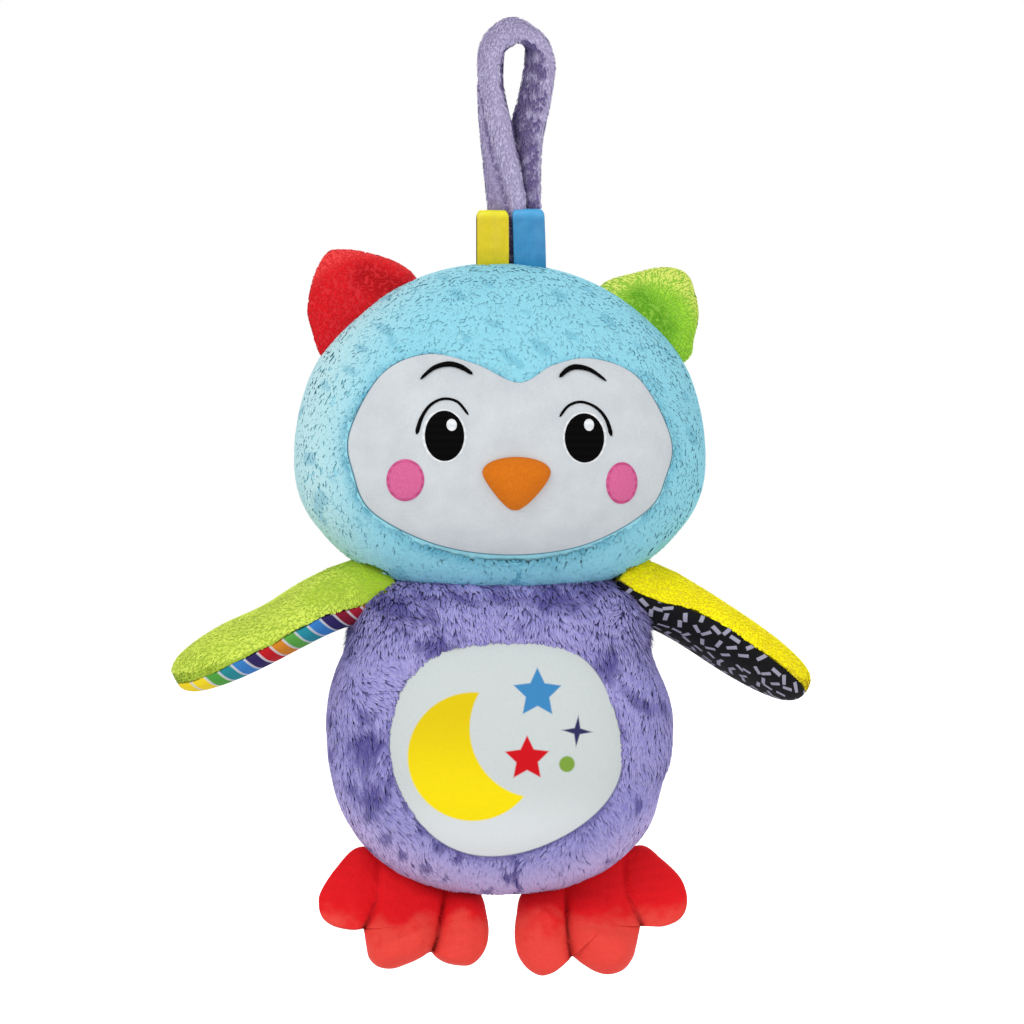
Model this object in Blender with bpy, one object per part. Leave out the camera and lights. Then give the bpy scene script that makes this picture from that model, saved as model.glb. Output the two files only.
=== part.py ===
"""A plush owl night light that hangs from a loop.

All sizes are in metres. X is to the viewer's right, the front faces -Y and Z is up. The origin
is the inner top of the hanging loop, where a hook or a cot rail carries the toy.
"""

import math

import bmesh
import bpy
import numpy as np
from mathutils import Euler, Vector

# Fits
GAP = 0.0003                    # room between neighbouring pieces
PATCH_ROOM = 0.00045            # room under a patch that lies on a curved skin
OVERRUN = 0.004                 # how far a cutter passes through a face

# Hanging loop and ribbon tags
LOOP_SEAM_RISE = 0.0007         # from the top of the head to the seam that the loop swings on
LOOP_WIDTH = 0.0268
LOOP_HOLE_HEIGHT = 0.021
LOOP_HOLE_WIDTH = 0.0062
LOOP_SLIT = 0.0006              # the two runs of the loop lie this far apart below the hole
LOOP_DEPTH = 0.015
LOOP_ROOT_WIDTH = 0.0185
LOOP_ROOT_RADIUS = 0.0020
HANGER_OFFSET = 0.0045          # the loop is sewn in this far to the right of the owl's middle
TAG_WIDTH = 0.0106
TAG_HEIGHT = 0.0185
TAG_FOLD_RADIUS = 0.0017
TAG_RIBBON = 0.0006
TAG_SPACING = 0.0126
TAG_SHIFT = 0.0012              # the pair is sewn in this far to the left of the loop's middle
TAG_TAIL = 0.0082               # what runs down into the head's seam
TAG_LEAN = math.radians(1.5)

# Head
HEAD_WIDTH = 0.1374
HEAD_DEPTH = 0.092
HEAD_TOP_DROP = 0.0713          # from the hook to the top of the head
HEAD_RISE = 0.0654              # from the widest level up
HEAD_FALL = 0.0430              # and down
HEAD_RISE_POWER = 2.05
HEAD_FALL_POWER = 2.25
HEAD_PLAN_POWER = 2.2

# Face, eyes, cheeks and beak
FACE_WIDTH = 0.1064
FACE_HEIGHT = 0.0649
FACE_BELOW_CROWN = 0.0322       # from the top of the head to the top of the face
FACE_THICKNESS = 0.0016
EYE_WIDTH = 0.0180
EYE_HEIGHT = 0.0212
EYE_SPACING = 0.0452
EYE_BELOW_FACE = 0.0262         # this and the next two are measured from the top of the face
EYE_THICKNESS = 0.0008
CHEEK_WIDTH = 0.0116
CHEEK_HEIGHT = 0.0132
CHEEK_INSET = 0.0180            # from the face's side edge to a cheek's middle
CHEEK_BELOW_FACE = 0.0407
CHEEK_THICKNESS = 0.0009
BEAK_WIDTH = 0.0222
BEAK_HEIGHT = 0.0174
BEAK_BELOW_FACE = 0.0331
BEAK_THICKNESS = 0.0052
BEAK_EDGE = 0.0012

# Ears
EAR_REACH = 0.0650              # from the owl's middle to the ear's outer edge
EAR_HEIGHT = 0.0330
EAR_RISE = 0.0013               # from the top of the head to the top of the ears
EAR_THICKNESS = 0.0150
EAR_TURN = math.radians(2.5)    # the red ear is set this much higher, the green one lower

# Body
BODY_WIDTH = 0.1160
BODY_DEPTH = 0.0800
NECK_SINK = 0.0090              # how far the body's top reaches up into the head
BODY_RISE = 0.0533
BODY_FALL = 0.0577
BODY_RISE_POWER = 2.0
BODY_FALL_POWER = 2.4
BODY_PLAN_POWER = 2.2

# Printed belly window
BELLY_WIDTH = 0.0750
BELLY_HEIGHT = 0.0695
BELLY_BELOW_MIDDLE = 0.0064     # from the body's widest level to the window's middle
BELLY_THICKNESS = 0.0014
BELLY_POWER = 2.3

# Wings
WING_ROOT_OUT = 0.0462          # from the owl's middle to the shoulder seam
SHOULDER_RISE = 0.0015          # from the bottom of the head up to the shoulder seam
WING_LENGTH = 0.0690
WING_DEPTH = 0.0400
WING_ROOT_DEPTH = 0.0240
WING_ROOT_RADIUS = 0.0082
WING_FACE_THICKNESS = 0.0088
WING_DROOP = math.radians(29.5)
WING_TWIST = math.radians(8.0)  # the green wing's front edge is down, the yellow one's is up

# Feet
FOOT_OUT = 0.0260               # from the owl's middle to the middle of the foot's seam
FOOT_RISE = 0.0029              # from the bottom of the body up to the foot's seam
FOOT_TILT = math.radians(22.4)
FOOT_PITCH = math.radians(22.0)
FOOT_ROOT_RADIUS = 0.0038
FOOT_ROOT_WIDTH = 0.0375
TOE_ROOT_OUT = 0.0115           # from the middle of the foot to its side toes' roots
TOE_ROOT_WIDTH = 0.0180
TOE_SIDE_OUT = 0.0190           # and to their tips
TOE_SIDE_LENGTH = 0.0243
TOE_SIDE_WIDTH = 0.0215
TOE_MIDDLE_LENGTH = 0.0330
TOE_MIDDLE_WIDTH = 0.0235
TOE_THICKNESS = 0.0160

# Lamp unit behind the belly window
LAMP_RIM = 0.0095               # how far the lamp's housing reaches past its lens
LAMP_FRONT_INSET = 0.0008       # from the body's skin to the top of the diffuser
LAMP_BACK_Y = -0.0120
LAMP_WALL = 0.0018
LENS_RADIUS = 0.0245
LENS_RISE = 0.0045
LENS_WALL = 0.0016
LENS_SKIRT = 0.0050
LENS_FLANGE = 0.0016
LENS_TRAVEL = 0.0015
BEZEL_SLOPE = 0.0050
BEZEL_DEPTH = 0.0095
BOARD_INSET = 0.0010            # the board is this much smaller than the lens
BOARD_THICKNESS = 0.0016
BOARD_LIFT = 0.0040
POST_RADIUS = 0.0026
POST_OUT = 0.0046               # from the lens's edge to the posts' middles
LAMP_SCREW_RADIUS = 0.0011
LAMP_SCREW_HEAD_RADIUS = 0.0021
LAMP_SCREW_HEAD = 0.0012
LAMP_SCREW_LENGTH = 0.0150
LED_RADIUS = 0.0025
LED_CIRCLE = 0.0125
LED_HEIGHT = 0.0056
PRESS_SWITCH_SIDE = 0.0062
PRESS_SWITCH_HEIGHT = 0.0036
PLUNGER_RADIUS = 0.0015
PLUNGER_SINK = 0.0008
PLUNGER_REACH = 0.0020
THREE = 3                       # posts, screws, lights and cells all come in threes

# Battery unit in the back
BATTERY_BELOW_MIDDLE = 0.0050   # from the body's widest level to the box's middle
BATTERY_WALL = 0.0014
CELL_LENGTH = 0.0435
CELL_RADIUS = 0.00525
CELL_NUB_RADIUS = 0.0019
CELL_NUB = 0.0010
CELL_ROOM = 0.0004
CELL_END_ROOM = 0.00335         # half of what the plates and springs need along a cell
CELL_COVER_ROOM = 0.0013        # between the cells and the cover's ledge
CONTACT_PLATE = 0.0005
CONTACT_WIDTH = 0.0080
SPRING_WIRE = 0.0004
SPRING_TURNS = 3
SPRING_RADIUS = 0.0032
SPRING_TIP_RADIUS = 0.0018
COVER_THICKNESS = 0.0016
COVER_STRIP = 0.0056            # the part of the cover above the cells, which takes its screw
COVER_SCREW_RADIUS = 0.0012
COVER_SCREW_HEAD_RADIUS = 0.0024
COVER_SCREW_HEAD = 0.0010
COVER_SCREW_LENGTH = 0.0068
SWITCH_WIDTH = 0.0130
SWITCH_HEIGHT = 0.0060
SWITCH_DEPTH = 0.0055
SWITCH_MARGIN = 0.00195         # between the switch and the cover below it or the wall above
KNOB_WIDTH = 0.0035
KNOB_HEIGHT = 0.0026
KNOB_PROUD = 0.0013
KNOB_SINK = 0.0014
KNOB_TRAVEL = 0.0040

# Power leads
LEAD_DIAMETER = 0.0014
LEAD_SPACING = 0.0032
LEAD_CHANNEL_RADIUS = 0.0034
LEAD_OUT = 0.0100
LEAD_RISE = 0.0090
LEAD_EASE = 0.00064             # how far each lead moves sideways on its way

# Padded flap over the battery unit
FLAP_SIDE_MARGIN = 0.0050       # how far the flap reaches past the battery box at each side
FLAP_TOP_MARGIN = 0.0065
FLAP_CORNER = 0.0180
FLAP_FLOOR_Y = 0.0275
TAPE_WIDTH = 0.0340
TAPE_HEIGHT = 0.0048
TAPE_THICKNESS = 0.0010
TAPE_MARGIN = 0.0014            # below the tape
TAPE_TO_BOX = 0.0033            # and above it, to the battery box

# Counts that set how fine each mesh is, and the angle past which an edge stays sharp
SKIN_AROUND = 36
SKIN_LEVELS = 16
TURNED_SIDES = 24
SMALL_SIDES = 12
SPRING_STEPS = 8
SHARP_ANGLE = math.radians(35)
LOOP_SECTION_POWER = 0.7        # squares up the loop's section

# Hand-set outlines, as shares of the sizes above. Each pair runs outwards, then upwards.
FACE_OUTLINE_SHARES = [
    (0.05, 0.87), (0.31, 0.97), (0.53, 1.0), (0.74, 0.94), (0.90, 0.80), (1.0, 0.587),
    (0.96, 0.377), (0.85, 0.215), (0.62, 0.10), (0.31, 0.02), (0.0, 0.0),
]
BEAK_OUTLINE_SHARES = [
    (0.0, 1.0), (0.45, 0.96), (0.85, 0.86), (1.0, 0.70), (0.86, 0.48), (0.55, 0.18), (0.22, 0.02),
]
EAR_OUTLINE_SHARES = [
    (0.90, 0.98), (0.70, 0.97), (0.53, 0.84), (0.44, 0.62), (0.58, 0.42), (0.76, 0.16),
    (0.90, -0.02), (0.97, 0.20), (1.0, 0.45), (0.99, 0.75), (0.97, 0.92),
]
LOOP_HALF_SHARES = [
    # hole half-width, hole height, outer half-width, outer height, depth. The heights are shares
    # of the hole's height down to -1, and from there to -2 of the run from the hole to the seam.
    (0.0, -2.0, 0.68, -2.0, 0.23), (0.0, -1.882, 0.68, -1.882, 0.23),
    (0.0, -1.630, 0.71, -1.630, 0.34), (0.0, -1.441, 0.75, -1.441, 0.62),
    (0.12, -1.231, 0.82, -1.231, 0.90), (0.48, -1.00, 0.91, -1.00, 1.00),
    (0.96, -0.62, 0.97, -0.60, 1.00), (0.96, -0.28, 1.0, -0.12, 1.00),
    (0.62, -0.06, 0.82, 0.26, 1.00), (0.0, 0.0, 0.0, 0.54, 1.00),
]
WING_STATION_SHARES = [
    # distance along, half-depth, half-thickness
    (0.12, 0.66, 0.96), (0.26, 0.82, 1.0), (0.42, 0.95, 1.0), (0.58, 1.0, 0.98),
    (0.72, 0.95, 0.92), (0.84, 0.80, 0.80), (0.93, 0.58, 0.62), (0.98, 0.34, 0.38),
    (1.0, 0.14, 0.16),
]
LEAD_ROUTE_SHARES = [(0.0, 0.0), (0.15, 0.0), (0.38, 0.35), (0.62, 0.65), (0.85, 1.0), (1.0, 1.0)]

for old in list(bpy.data.objects):
    bpy.data.objects.remove(old)


def material(name, colour, roughness, metallic=0.0):
    """A Principled material with one colour."""
    made = bpy.data.materials.new(name)
    made.use_nodes = True
    shader = made.node_tree.nodes["Principled BSDF"]
    shader.inputs["Base Color"].default_value = (*colour, 1.0)
    shader.inputs["Roughness"].default_value = roughness
    shader.inputs["Metallic"].default_value = metallic
    made.diffuse_color = (*colour, 1.0)
    return made


def piece(name, points, faces, finish, smooth=True):
    """A named object with one mesh, its faces turned outwards."""
    mesh = bpy.data.meshes.new(name)
    mesh.from_pydata([tuple(point) for point in points], [], faces)
    shape = bmesh.new()
    shape.from_mesh(mesh)
    bmesh.ops.recalc_face_normals(shape, faces=shape.faces)
    shape.to_mesh(mesh)
    shape.free()
    made = bpy.data.objects.new(name, mesh)
    bpy.context.collection.objects.link(made)
    if finish is not None:
        mesh.materials.append(finish)
    if smooth:
        mesh.shade_smooth()
        mesh.set_sharp_from_angle(angle=SHARP_ANGLE)
    return made


def boolean(target, other, operation):
    """Cuts other out of target, joins them, or keeps what they share."""
    change = target.modifiers.new(operation.lower(), "BOOLEAN")
    change.operation = operation
    change.solver = "EXACT"
    change.object = other
    other.hide_render = True
    other.display_type = "WIRE"


def cut(target, *others):
    """Cuts each of the others out of target."""
    for other in others:
        boolean(target, other, "DIFFERENCE")


def pivot(name, place, turn=(0.0, 0.0, 0.0)):
    """An empty on a joint's axis, which carries what turns there."""
    empty = bpy.data.objects.new(name, None)
    empty.location = place
    empty.rotation_euler = Euler(turn)
    empty.empty_display_size = WING_ROOT_RADIUS
    bpy.context.collection.objects.link(empty)
    return empty


def ring_faces(rings, around):
    """Faces between rings of equal count that are numbered one after another."""
    faces = []
    for level in range(rings - 1):
        for step in range(around):
            after = (step + 1) % around
            low = level * around
            high = low + around
            faces.append((low + step, low + after, high + after, high + step))
    return faces


def lofted(name, rings, finish, smooth=True):
    """A solid through rings of equal count, with a flat face over each end."""
    around = len(rings[0])
    points = [point for ring in rings for point in ring]
    faces = ring_faces(len(rings), around)
    faces.append(tuple(range(around)))
    last = (len(rings) - 1) * around
    faces.append(tuple(range(last, last + around)))
    return piece(name, points, faces, finish, smooth)


def turned(name, profile, centre, finish, axis="Y", sides=TURNED_SIDES):
    """A turned solid: a closed profile of (radius, place along the axis), swept round that axis."""
    turns = np.linspace(0.0, math.tau, sides, endpoint=False)
    points = []
    rows = []
    for radius, along in profile:
        if radius == 0.0:
            rows.append([len(points)] * sides)
            points.append(spun(0.0, 0.0, along, centre, axis))
            continue
        rows.append(list(range(len(points), len(points) + sides)))
        points += [spun(radius * math.cos(t), radius * math.sin(t), along, centre, axis) for t in turns]
    on_axis = profile[0][0] == 0.0 and profile[-1][0] == 0.0
    spans = len(profile) - 1 if on_axis else len(profile)
    faces = []
    for span in range(spans):
        first = rows[span]
        second = rows[(span + 1) % len(rows)]
        for step in range(sides):
            after = (step + 1) % sides
            corners = [first[step], first[after], second[after], second[step]]
            corners = list(dict.fromkeys(corners))
            if len(corners) > 2:
                faces.append(tuple(corners))
    return piece(name, points, faces, finish)


def spun(across, up, along, centre, axis):
    """A point of a turned solid in the frame of the part."""
    if axis == "Y":
        return (centre[0] + across, centre[1] + along, centre[2] + up)
    if axis == "X":
        return (centre[0] + along, centre[1] + across, centre[2] + up)
    return (centre[0] + across, centre[1] + up, centre[2] + along)


def rod(name, radius, start, length, finish, axis="Y", sides=TURNED_SIDES):
    """A plain cylinder that starts at a point and runs along an axis."""
    profile = [(0.0, 0.0), (radius, 0.0), (radius, length), (0.0, length)]
    return turned(name, profile, start, finish, axis, sides)


def block(name, low, high, finish, round_edge=0.0):
    """A box between two corners, with softened edges where a radius is given."""
    shape = bmesh.new()
    bmesh.ops.create_cube(shape, size=1.0)
    for corner in shape.verts:
        corner.co = Vector(
            low[side] if corner.co[side] < 0 else high[side] for side in range(3)
        )
    points = [tuple(corner.co) for corner in shape.verts]
    shape.verts.index_update()
    faces = [tuple(corner.index for corner in face.verts) for face in shape.faces]
    shape.free()
    made = piece(name, points, faces, finish, smooth=False)
    if round_edge:
        softened = made.modifiers.new("soft_edges", "BEVEL")
        softened.width = round_edge
        softened.segments = 2
        softened.limit_method = "ANGLE"
    return made


def prism(name, outline, low_y, high_y, finish):
    """An outline of (x, z) points carried along Y."""
    front = [(x, low_y, z) for x, z in outline]
    back = [(x, high_y, z) for x, z in outline]
    return lofted(name, [front, back], finish, smooth=False)


def rounded_outline(centre, width, height, corner, steps=5):
    """A rounded rectangle of (x, z) points about a centre."""
    outline = []
    for quarter in range(4):
        side_x = 1 if quarter in (0, 3) else -1
        side_z = 1 if quarter in (0, 1) else -1
        for step in range(steps + 1):
            turn = math.radians(90) * (quarter + step / steps)
            x = centre[0] + side_x * (width / 2 - corner) + corner * math.cos(turn)
            z = centre[1] + side_z * (height / 2 - corner) + corner * math.sin(turn)
            outline.append((x, z))
    return outline


def spline_span(a, b, c, d, steps):
    """Points of the Catmull-Rom span from b towards c, with a and d beyond its ends."""
    shares = [step / steps for step in range(steps)]
    return [
        0.5 * (2 * b + (c - a) * t + (2 * a - 5 * b + 4 * c - d) * t ** 2
               + (3 * b - a - 3 * c + d) * t ** 3)
        for t in shares
    ]


def smooth_run(points, steps):
    """An open smooth run through points of any width, with steps pieces in each span."""
    points = np.asarray(points, float)
    padded = np.vstack([2 * points[0] - points[1], points, 2 * points[-1] - points[-2]])
    out = []
    for span in range(len(points) - 1):
        out += spline_span(*padded[span:span + 4], steps)
    out.append(points[-1])
    return np.array(out)


def smooth_ring(points, steps):
    """A closed smooth ring through points."""
    points = np.asarray(points, float)
    count = len(points)
    out = []
    for span in range(count):
        out += spline_span(*(points[(span + k - 1) % count] for k in range(4)), steps)
    return np.array(out)


def signed_power(value, power):
    """A power that keeps the sign, as a superellipse needs."""
    return np.sign(value) * np.abs(value) ** power


class Stuffed:
    """A stuffed form that swells to its widest level and rounds off above and below.

    A point is on the skin where (|x/w|^n + |y/d|^n)^(p/n) + |z/h|^p = 1. w and d are half the
    width and depth, n the plan's power, and h and p the height and power of that half.
    """

    def __init__(self, middle, width, depth, rise, fall, powers):
        self.middle = middle
        self.half_width = width / 2
        self.half_depth = depth / 2
        self.rise = rise
        self.fall = fall
        self.rise_power, self.fall_power, self.plan_power = powers

    def grown(self, room):
        """The same form with room added all round."""
        powers = (self.rise_power, self.fall_power, self.plan_power)
        return Stuffed(self.middle, 2 * (self.half_width + room), 2 * (self.half_depth + room),
                       self.rise + room, self.fall + room, powers)

    def level(self, z):
        """The height and power of the half that z is in, and z from the middle."""
        up = z - self.middle[2]
        if up >= 0:
            return up, self.rise, self.rise_power
        return up, self.fall, self.fall_power

    def skin_y(self, x, z):
        """Half the depth of the form at (x, z), or zero outside its outline."""
        across = abs((x - self.middle[0]) / self.half_width)
        up, height, power = self.level(z)
        left = max(0.0, 1 - abs(up / height) ** power) ** (self.plan_power / power)
        left -= across ** self.plan_power
        return self.half_depth * max(0.0, left) ** (1 / self.plan_power)

    def outward(self, x, y, z):
        """The unit normal of the skin at a point of it."""
        up, height, power = self.level(z)
        n = self.plan_power
        across = (x - self.middle[0]) / self.half_width
        back = (y - self.middle[1]) / self.half_depth
        ring = abs(across) ** n + abs(back) ** n
        spread = (power / n) * ring ** (power / n - 1)
        slope = Vector((
            spread * n * math.copysign(abs(across) ** (n - 1), across) / self.half_width,
            spread * n * math.copysign(abs(back) ** (n - 1), back) / self.half_depth,
            power * math.copysign(abs(up / height) ** (power - 1), up) / height,
        ))
        return slope.normalized()

    def mesh(self, name, finish, around=SKIN_AROUND, levels=SKIN_LEVELS):
        """The form as a closed mesh of rings, denser towards the top and bottom."""
        turns = np.linspace(0.0, math.tau, around, endpoint=False)
        plan_x = signed_power(np.cos(turns), 2 / self.plan_power)
        plan_y = signed_power(np.sin(turns), 2 / self.plan_power)
        rings = []
        for lift in np.linspace(-90, 90, levels + 2)[1:-1]:
            power = self.rise_power if lift >= 0 else self.fall_power
            height = self.rise if lift >= 0 else self.fall
            girth = math.cos(math.radians(lift)) ** (2 / power)
            z = self.middle[2] + height * signed_power(math.sin(math.radians(lift)), 2 / power)
            ring = np.column_stack([
                self.middle[0] + self.half_width * girth * plan_x,
                self.middle[1] + self.half_depth * girth * plan_y,
                np.full(around, z),
            ])
            rings.append(ring)
        points = np.vstack(rings)
        bottom = len(points)
        ends = [
            (self.middle[0], self.middle[1], self.middle[2] - self.fall),
            (self.middle[0], self.middle[1], self.middle[2] + self.rise),
        ]
        points = np.vstack([points, ends])
        faces = ring_faces(len(rings), around)
        last = (len(rings) - 1) * around
        for step in range(around):
            after = (step + 1) % around
            faces.append((bottom, after, step))
            faces.append((bottom + 1, last + step, last + after))
        return piece(name, points, faces, finish)


def applique(name, form, outline, low, thickness, finish, dome=0.0, rings=3):
    """A patch sewn on the front of a form, low above its skin, and thicker by dome in its middle."""
    outline = np.asarray(outline)
    centre = outline.mean(axis=0)
    around = len(outline)
    under, over = [], []

    def lay(x, z, share):
        y = form.middle[1] - form.skin_y(x, z)
        skin = Vector((x, y, z))
        normal = form.outward(x, y, z)
        under.append(skin + normal * low)
        rise = thickness + dome * math.sqrt(max(0.0, 1 - share * share))
        over.append(skin + normal * (low + rise))

    for ring in range(rings, 0, -1):
        share = ring / rings
        for x, z in centre + (outline - centre) * share:
            lay(x, z, share)
    lay(centre[0], centre[1], 0.0)
    points = under + over
    top = len(under)
    faces = ring_faces(rings, around)
    inner = (rings - 1) * around
    for step in range(around):
        faces.append((inner + step, inner + (step + 1) % around, rings * around))
    faces += [tuple(top + corner for corner in reversed(face)) for face in faces]
    for step in range(around):
        after = (step + 1) % around
        faces.append((step, after, top + after, top + step))
    return piece(name, points, faces, finish)


def pillow(name, outline, plane_y, thickness, finish, rings=5):
    """A stuffed flat piece: two domes that meet in a seam round an outline of (x, z) points."""
    outline = np.asarray(outline)
    centre = outline.mean(axis=0)
    around = len(outline)
    points = [(x, plane_y, z) for x, z in outline]
    faces = []
    for side in (-1, 1):
        before = list(range(around))
        for ring in range(1, rings):
            share = math.cos(math.radians(90) * ring / rings)
            puff = side * thickness / 2 * math.sqrt(1 - share * share)
            first = len(points)
            points += [(x, plane_y + puff, z) for x, z in centre + (outline - centre) * share]
            now = list(range(first, first + around))
            for step in range(around):
                after = (step + 1) % around
                faces.append((before[step], before[after], now[after], now[step]))
            before = now
        top = len(points)
        points.append((centre[0], plane_y + side * thickness / 2, centre[1]))
        faces += [(before[step], before[(step + 1) % around], top) for step in range(around)]
    return piece(name, points, faces, finish)


def carry(empty, *pieces):
    """Parents pieces that are drawn in place to an empty, without moving them."""
    bpy.context.view_layer.update()
    for each in pieces:
        each.parent = empty
        each.matrix_parent_inverse = empty.matrix_world.inverted()


MIDDLE_X = -HANGER_OFFSET
SEAM_Z = LOOP_SEAM_RISE - HEAD_TOP_DROP
CHEEK_OUT = FACE_WIDTH / 2 - CHEEK_INSET
LAMP_RADIUS = LENS_RADIUS + LAMP_RIM
BOARD_RADIUS = LENS_RADIUS - BOARD_INSET
POST_CIRCLE = LENS_RADIUS + POST_OUT
HEAD_BOTTOM_Z = -HEAD_TOP_DROP - HEAD_RISE - HEAD_FALL
FACE_TOP_Z = -HEAD_TOP_DROP - FACE_BELOW_CROWN
SHOULDER_Z = HEAD_BOTTOM_Z + SHOULDER_RISE
BODY_Z = HEAD_BOTTOM_Z + NECK_SINK - BODY_RISE
BELLY_Z = BODY_Z - BELLY_BELOW_MIDDLE
FOOT_Z = BODY_Z - BODY_FALL + FOOT_RISE

CELL_PITCH = 2 * CELL_RADIUS + CELL_ROOM
BATTERY_BOX_WIDTH = CELL_LENGTH + CELL_NUB + 2 * (CELL_END_ROOM + BATTERY_WALL)
BATTERY_BOX_DEPTH = (
    BATTERY_WALL + CELL_ROOM + 2 * CELL_RADIUS + CELL_COVER_ROOM + GAP + COVER_THICKNESS
)
BATTERY_BOX_HEIGHT = (
    BATTERY_WALL + CELL_ROOM + THREE * CELL_PITCH + COVER_STRIP + SWITCH_HEIGHT + 2 * SWITCH_MARGIN
)
BATTERY_BOTTOM_Z = BODY_Z - BATTERY_BELOW_MIDDLE - BATTERY_BOX_HEIGHT / 2
BATTERY_TOP_Z = BATTERY_BOTTOM_Z + BATTERY_BOX_HEIGHT
FLAP_WIDTH = BATTERY_BOX_WIDTH + 2 * FLAP_SIDE_MARGIN
FLAP_TOP_Z = BATTERY_TOP_Z + FLAP_TOP_MARGIN
FLAP_BOTTOM_Z = BATTERY_BOTTOM_Z - TAPE_TO_BOX - TAPE_HEIGHT - TAPE_MARGIN

PLUSH_BLUE = material("plush_blue", (0.26, 0.60, 0.72), 0.95)
PLUSH_VIOLET = material("plush_violet", (0.22, 0.20, 0.46), 0.95)
PLUSH_LILAC = material("plush_lilac", (0.34, 0.28, 0.48), 0.95)
PLUSH_RED = material("plush_red", (0.62, 0.01, 0.015), 0.95)
PLUSH_LIME = material("plush_lime", (0.30, 0.55, 0.04), 0.95)
PLUSH_GREEN = material("plush_green", (0.50, 0.65, 0.08), 0.95)
PLUSH_YELLOW = material("plush_yellow", (0.90, 0.78, 0.01), 0.95)
VELBOA_WHITE = material("velboa_white", (0.68, 0.72, 0.74), 0.9)
VELBOA_RED = material("velboa_red", (0.78, 0.02, 0.015), 0.9)
PRINT_WHITE = material("print_white", (0.66, 0.70, 0.70), 0.85)
STRIPED_COTTON = material("striped_cotton", (0.20, 0.25, 0.42), 0.85)
DASHED_COTTON = material("dashed_cotton", (0.03, 0.03, 0.03), 0.85)
SATIN_YELLOW = material("satin_yellow", (0.76, 0.60, 0.01), 0.4)
SATIN_BLUE = material("satin_blue", (0.04, 0.27, 0.54), 0.4)
THREAD_BLACK = material("thread_black", (0.01, 0.01, 0.012), 0.5)
FELT_PINK = material("felt_pink", (0.70, 0.14, 0.33), 0.9)
FELT_ORANGE = material("felt_orange", (0.72, 0.19, 0.01), 0.9)
WHITE_PLASTIC = material("white_plastic", (0.80, 0.80, 0.78), 0.4)
DIFFUSER = material("diffuser", (0.85, 0.85, 0.82), 0.5)
BOARD_GREEN = material("board_green", (0.02, 0.20, 0.06), 0.4)
LED_CLEAR = material("led_clear", (0.90, 0.88, 0.70), 0.2)
BLACK_PLASTIC = material("black_plastic", (0.02, 0.02, 0.02), 0.5)
STEEL = material("steel", (0.60, 0.60, 0.58), 0.3, 1.0)
CELL_WRAP = material("cell_wrap", (0.05, 0.12, 0.30), 0.35)
LEAD_RED = material("lead_red", (0.60, 0.02, 0.02), 0.45)
LEAD_BLACK = material("lead_black", (0.02, 0.02, 0.02), 0.45)
TAPE_VIOLET = material("tape_violet", (0.16, 0.14, 0.34), 0.8)

head_form = Stuffed(
    (MIDDLE_X, 0.0, -HEAD_TOP_DROP - HEAD_RISE), HEAD_WIDTH, HEAD_DEPTH, HEAD_RISE, HEAD_FALL,
    (HEAD_RISE_POWER, HEAD_FALL_POWER, HEAD_PLAN_POWER),
)
body_form = Stuffed(
    (MIDDLE_X, 0.0, BODY_Z), BODY_WIDTH, BODY_DEPTH, BODY_RISE, BODY_FALL,
    (BODY_RISE_POWER, BODY_FALL_POWER, BODY_PLAN_POWER),
)
head_room = head_form.grown(GAP).mesh("head_room", None)


def hang_loop():
    """A folded plush strip: two runs side by side that open into the hole at the top."""
    right = smooth_run(LOOP_HALF_SHARES, 2)
    left = right * np.array([-1, 1, -1, 1, 1])
    stations = np.vstack([left, right[-2::-1]])
    run = LOOP_ROOT_RADIUS / 5 - SEAM_Z - LOOP_HOLE_HEIGHT
    for column in (1, 3):
        heights = stations[:, column]
        below = np.minimum(heights + 1, 0.0)
        stations[:, column] = np.maximum(heights, -1.0) * LOOP_HOLE_HEIGHT + below * run
    turns = np.linspace(0.0, math.tau, SMALL_SIDES, endpoint=False)
    across = signed_power(np.cos(turns), LOOP_SECTION_POWER)
    deep = signed_power(np.sin(turns), LOOP_SECTION_POWER)
    rings = []
    for hole, hole_up, outer, outer_up, depth in stations:
        side = np.sign(outer)
        inside = max(abs(hole) * LOOP_HOLE_WIDTH / 2, LOOP_SLIT / 2) * side
        inner = np.array([inside, hole_up])
        rim = np.array([outer * LOOP_WIDTH / 2, outer_up])
        middle = (inner + rim) / 2
        reach = (rim - inner) / 2
        flat = middle + across[:, None] * reach
        rings.append([(x, deep[k] * depth * LOOP_DEPTH / 2, z) for k, (x, z) in enumerate(flat)])
    loop = lofted("hang_loop", rings, PLUSH_LILAC)
    start = (-LOOP_ROOT_WIDTH / 2, 0.0, SEAM_Z)
    root = rod("loop_root", LOOP_ROOT_RADIUS, start, LOOP_ROOT_WIDTH, None, "X", SMALL_SIDES * 2)
    boolean(loop, root, "UNION")
    return loop


def ribbon_tag(name, middle_x, lean, finish):
    """A folded ribbon: a narrow arch whose two ends are sewn in the top seam of the head."""
    centre_y = -LOOP_ROOT_RADIUS - GAP - TAG_FOLD_RADIUS - 2 * GAP
    top = TAG_HEIGHT - TAG_FOLD_RADIUS
    foot = -TAG_TAIL
    inner = TAG_FOLD_RADIUS - TAG_RIBBON
    arch = [math.radians(turn) for turn in range(0, 181, 30)]
    outline = [(TAG_FOLD_RADIUS, foot)]
    outline += [(TAG_FOLD_RADIUS * math.cos(t), top + TAG_FOLD_RADIUS * math.sin(t)) for t in arch]
    outline += [(-TAG_FOLD_RADIUS, foot), (-inner, foot)]
    outline += [(inner * math.cos(t), top + inner * math.sin(t)) for t in reversed(arch)]
    outline += [(inner, foot)]
    rings = [
        [(side * TAG_WIDTH / 2, y, z) for y, z in outline] for side in (-1, 1)
    ]
    tag = lofted(name, rings, finish, smooth=False)
    tag.location = (middle_x, centre_y, -HEAD_TOP_DROP)
    tag.rotation_euler = (0.0, lean, 0.0)
    cut(tag, head_room)
    return tag


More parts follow.
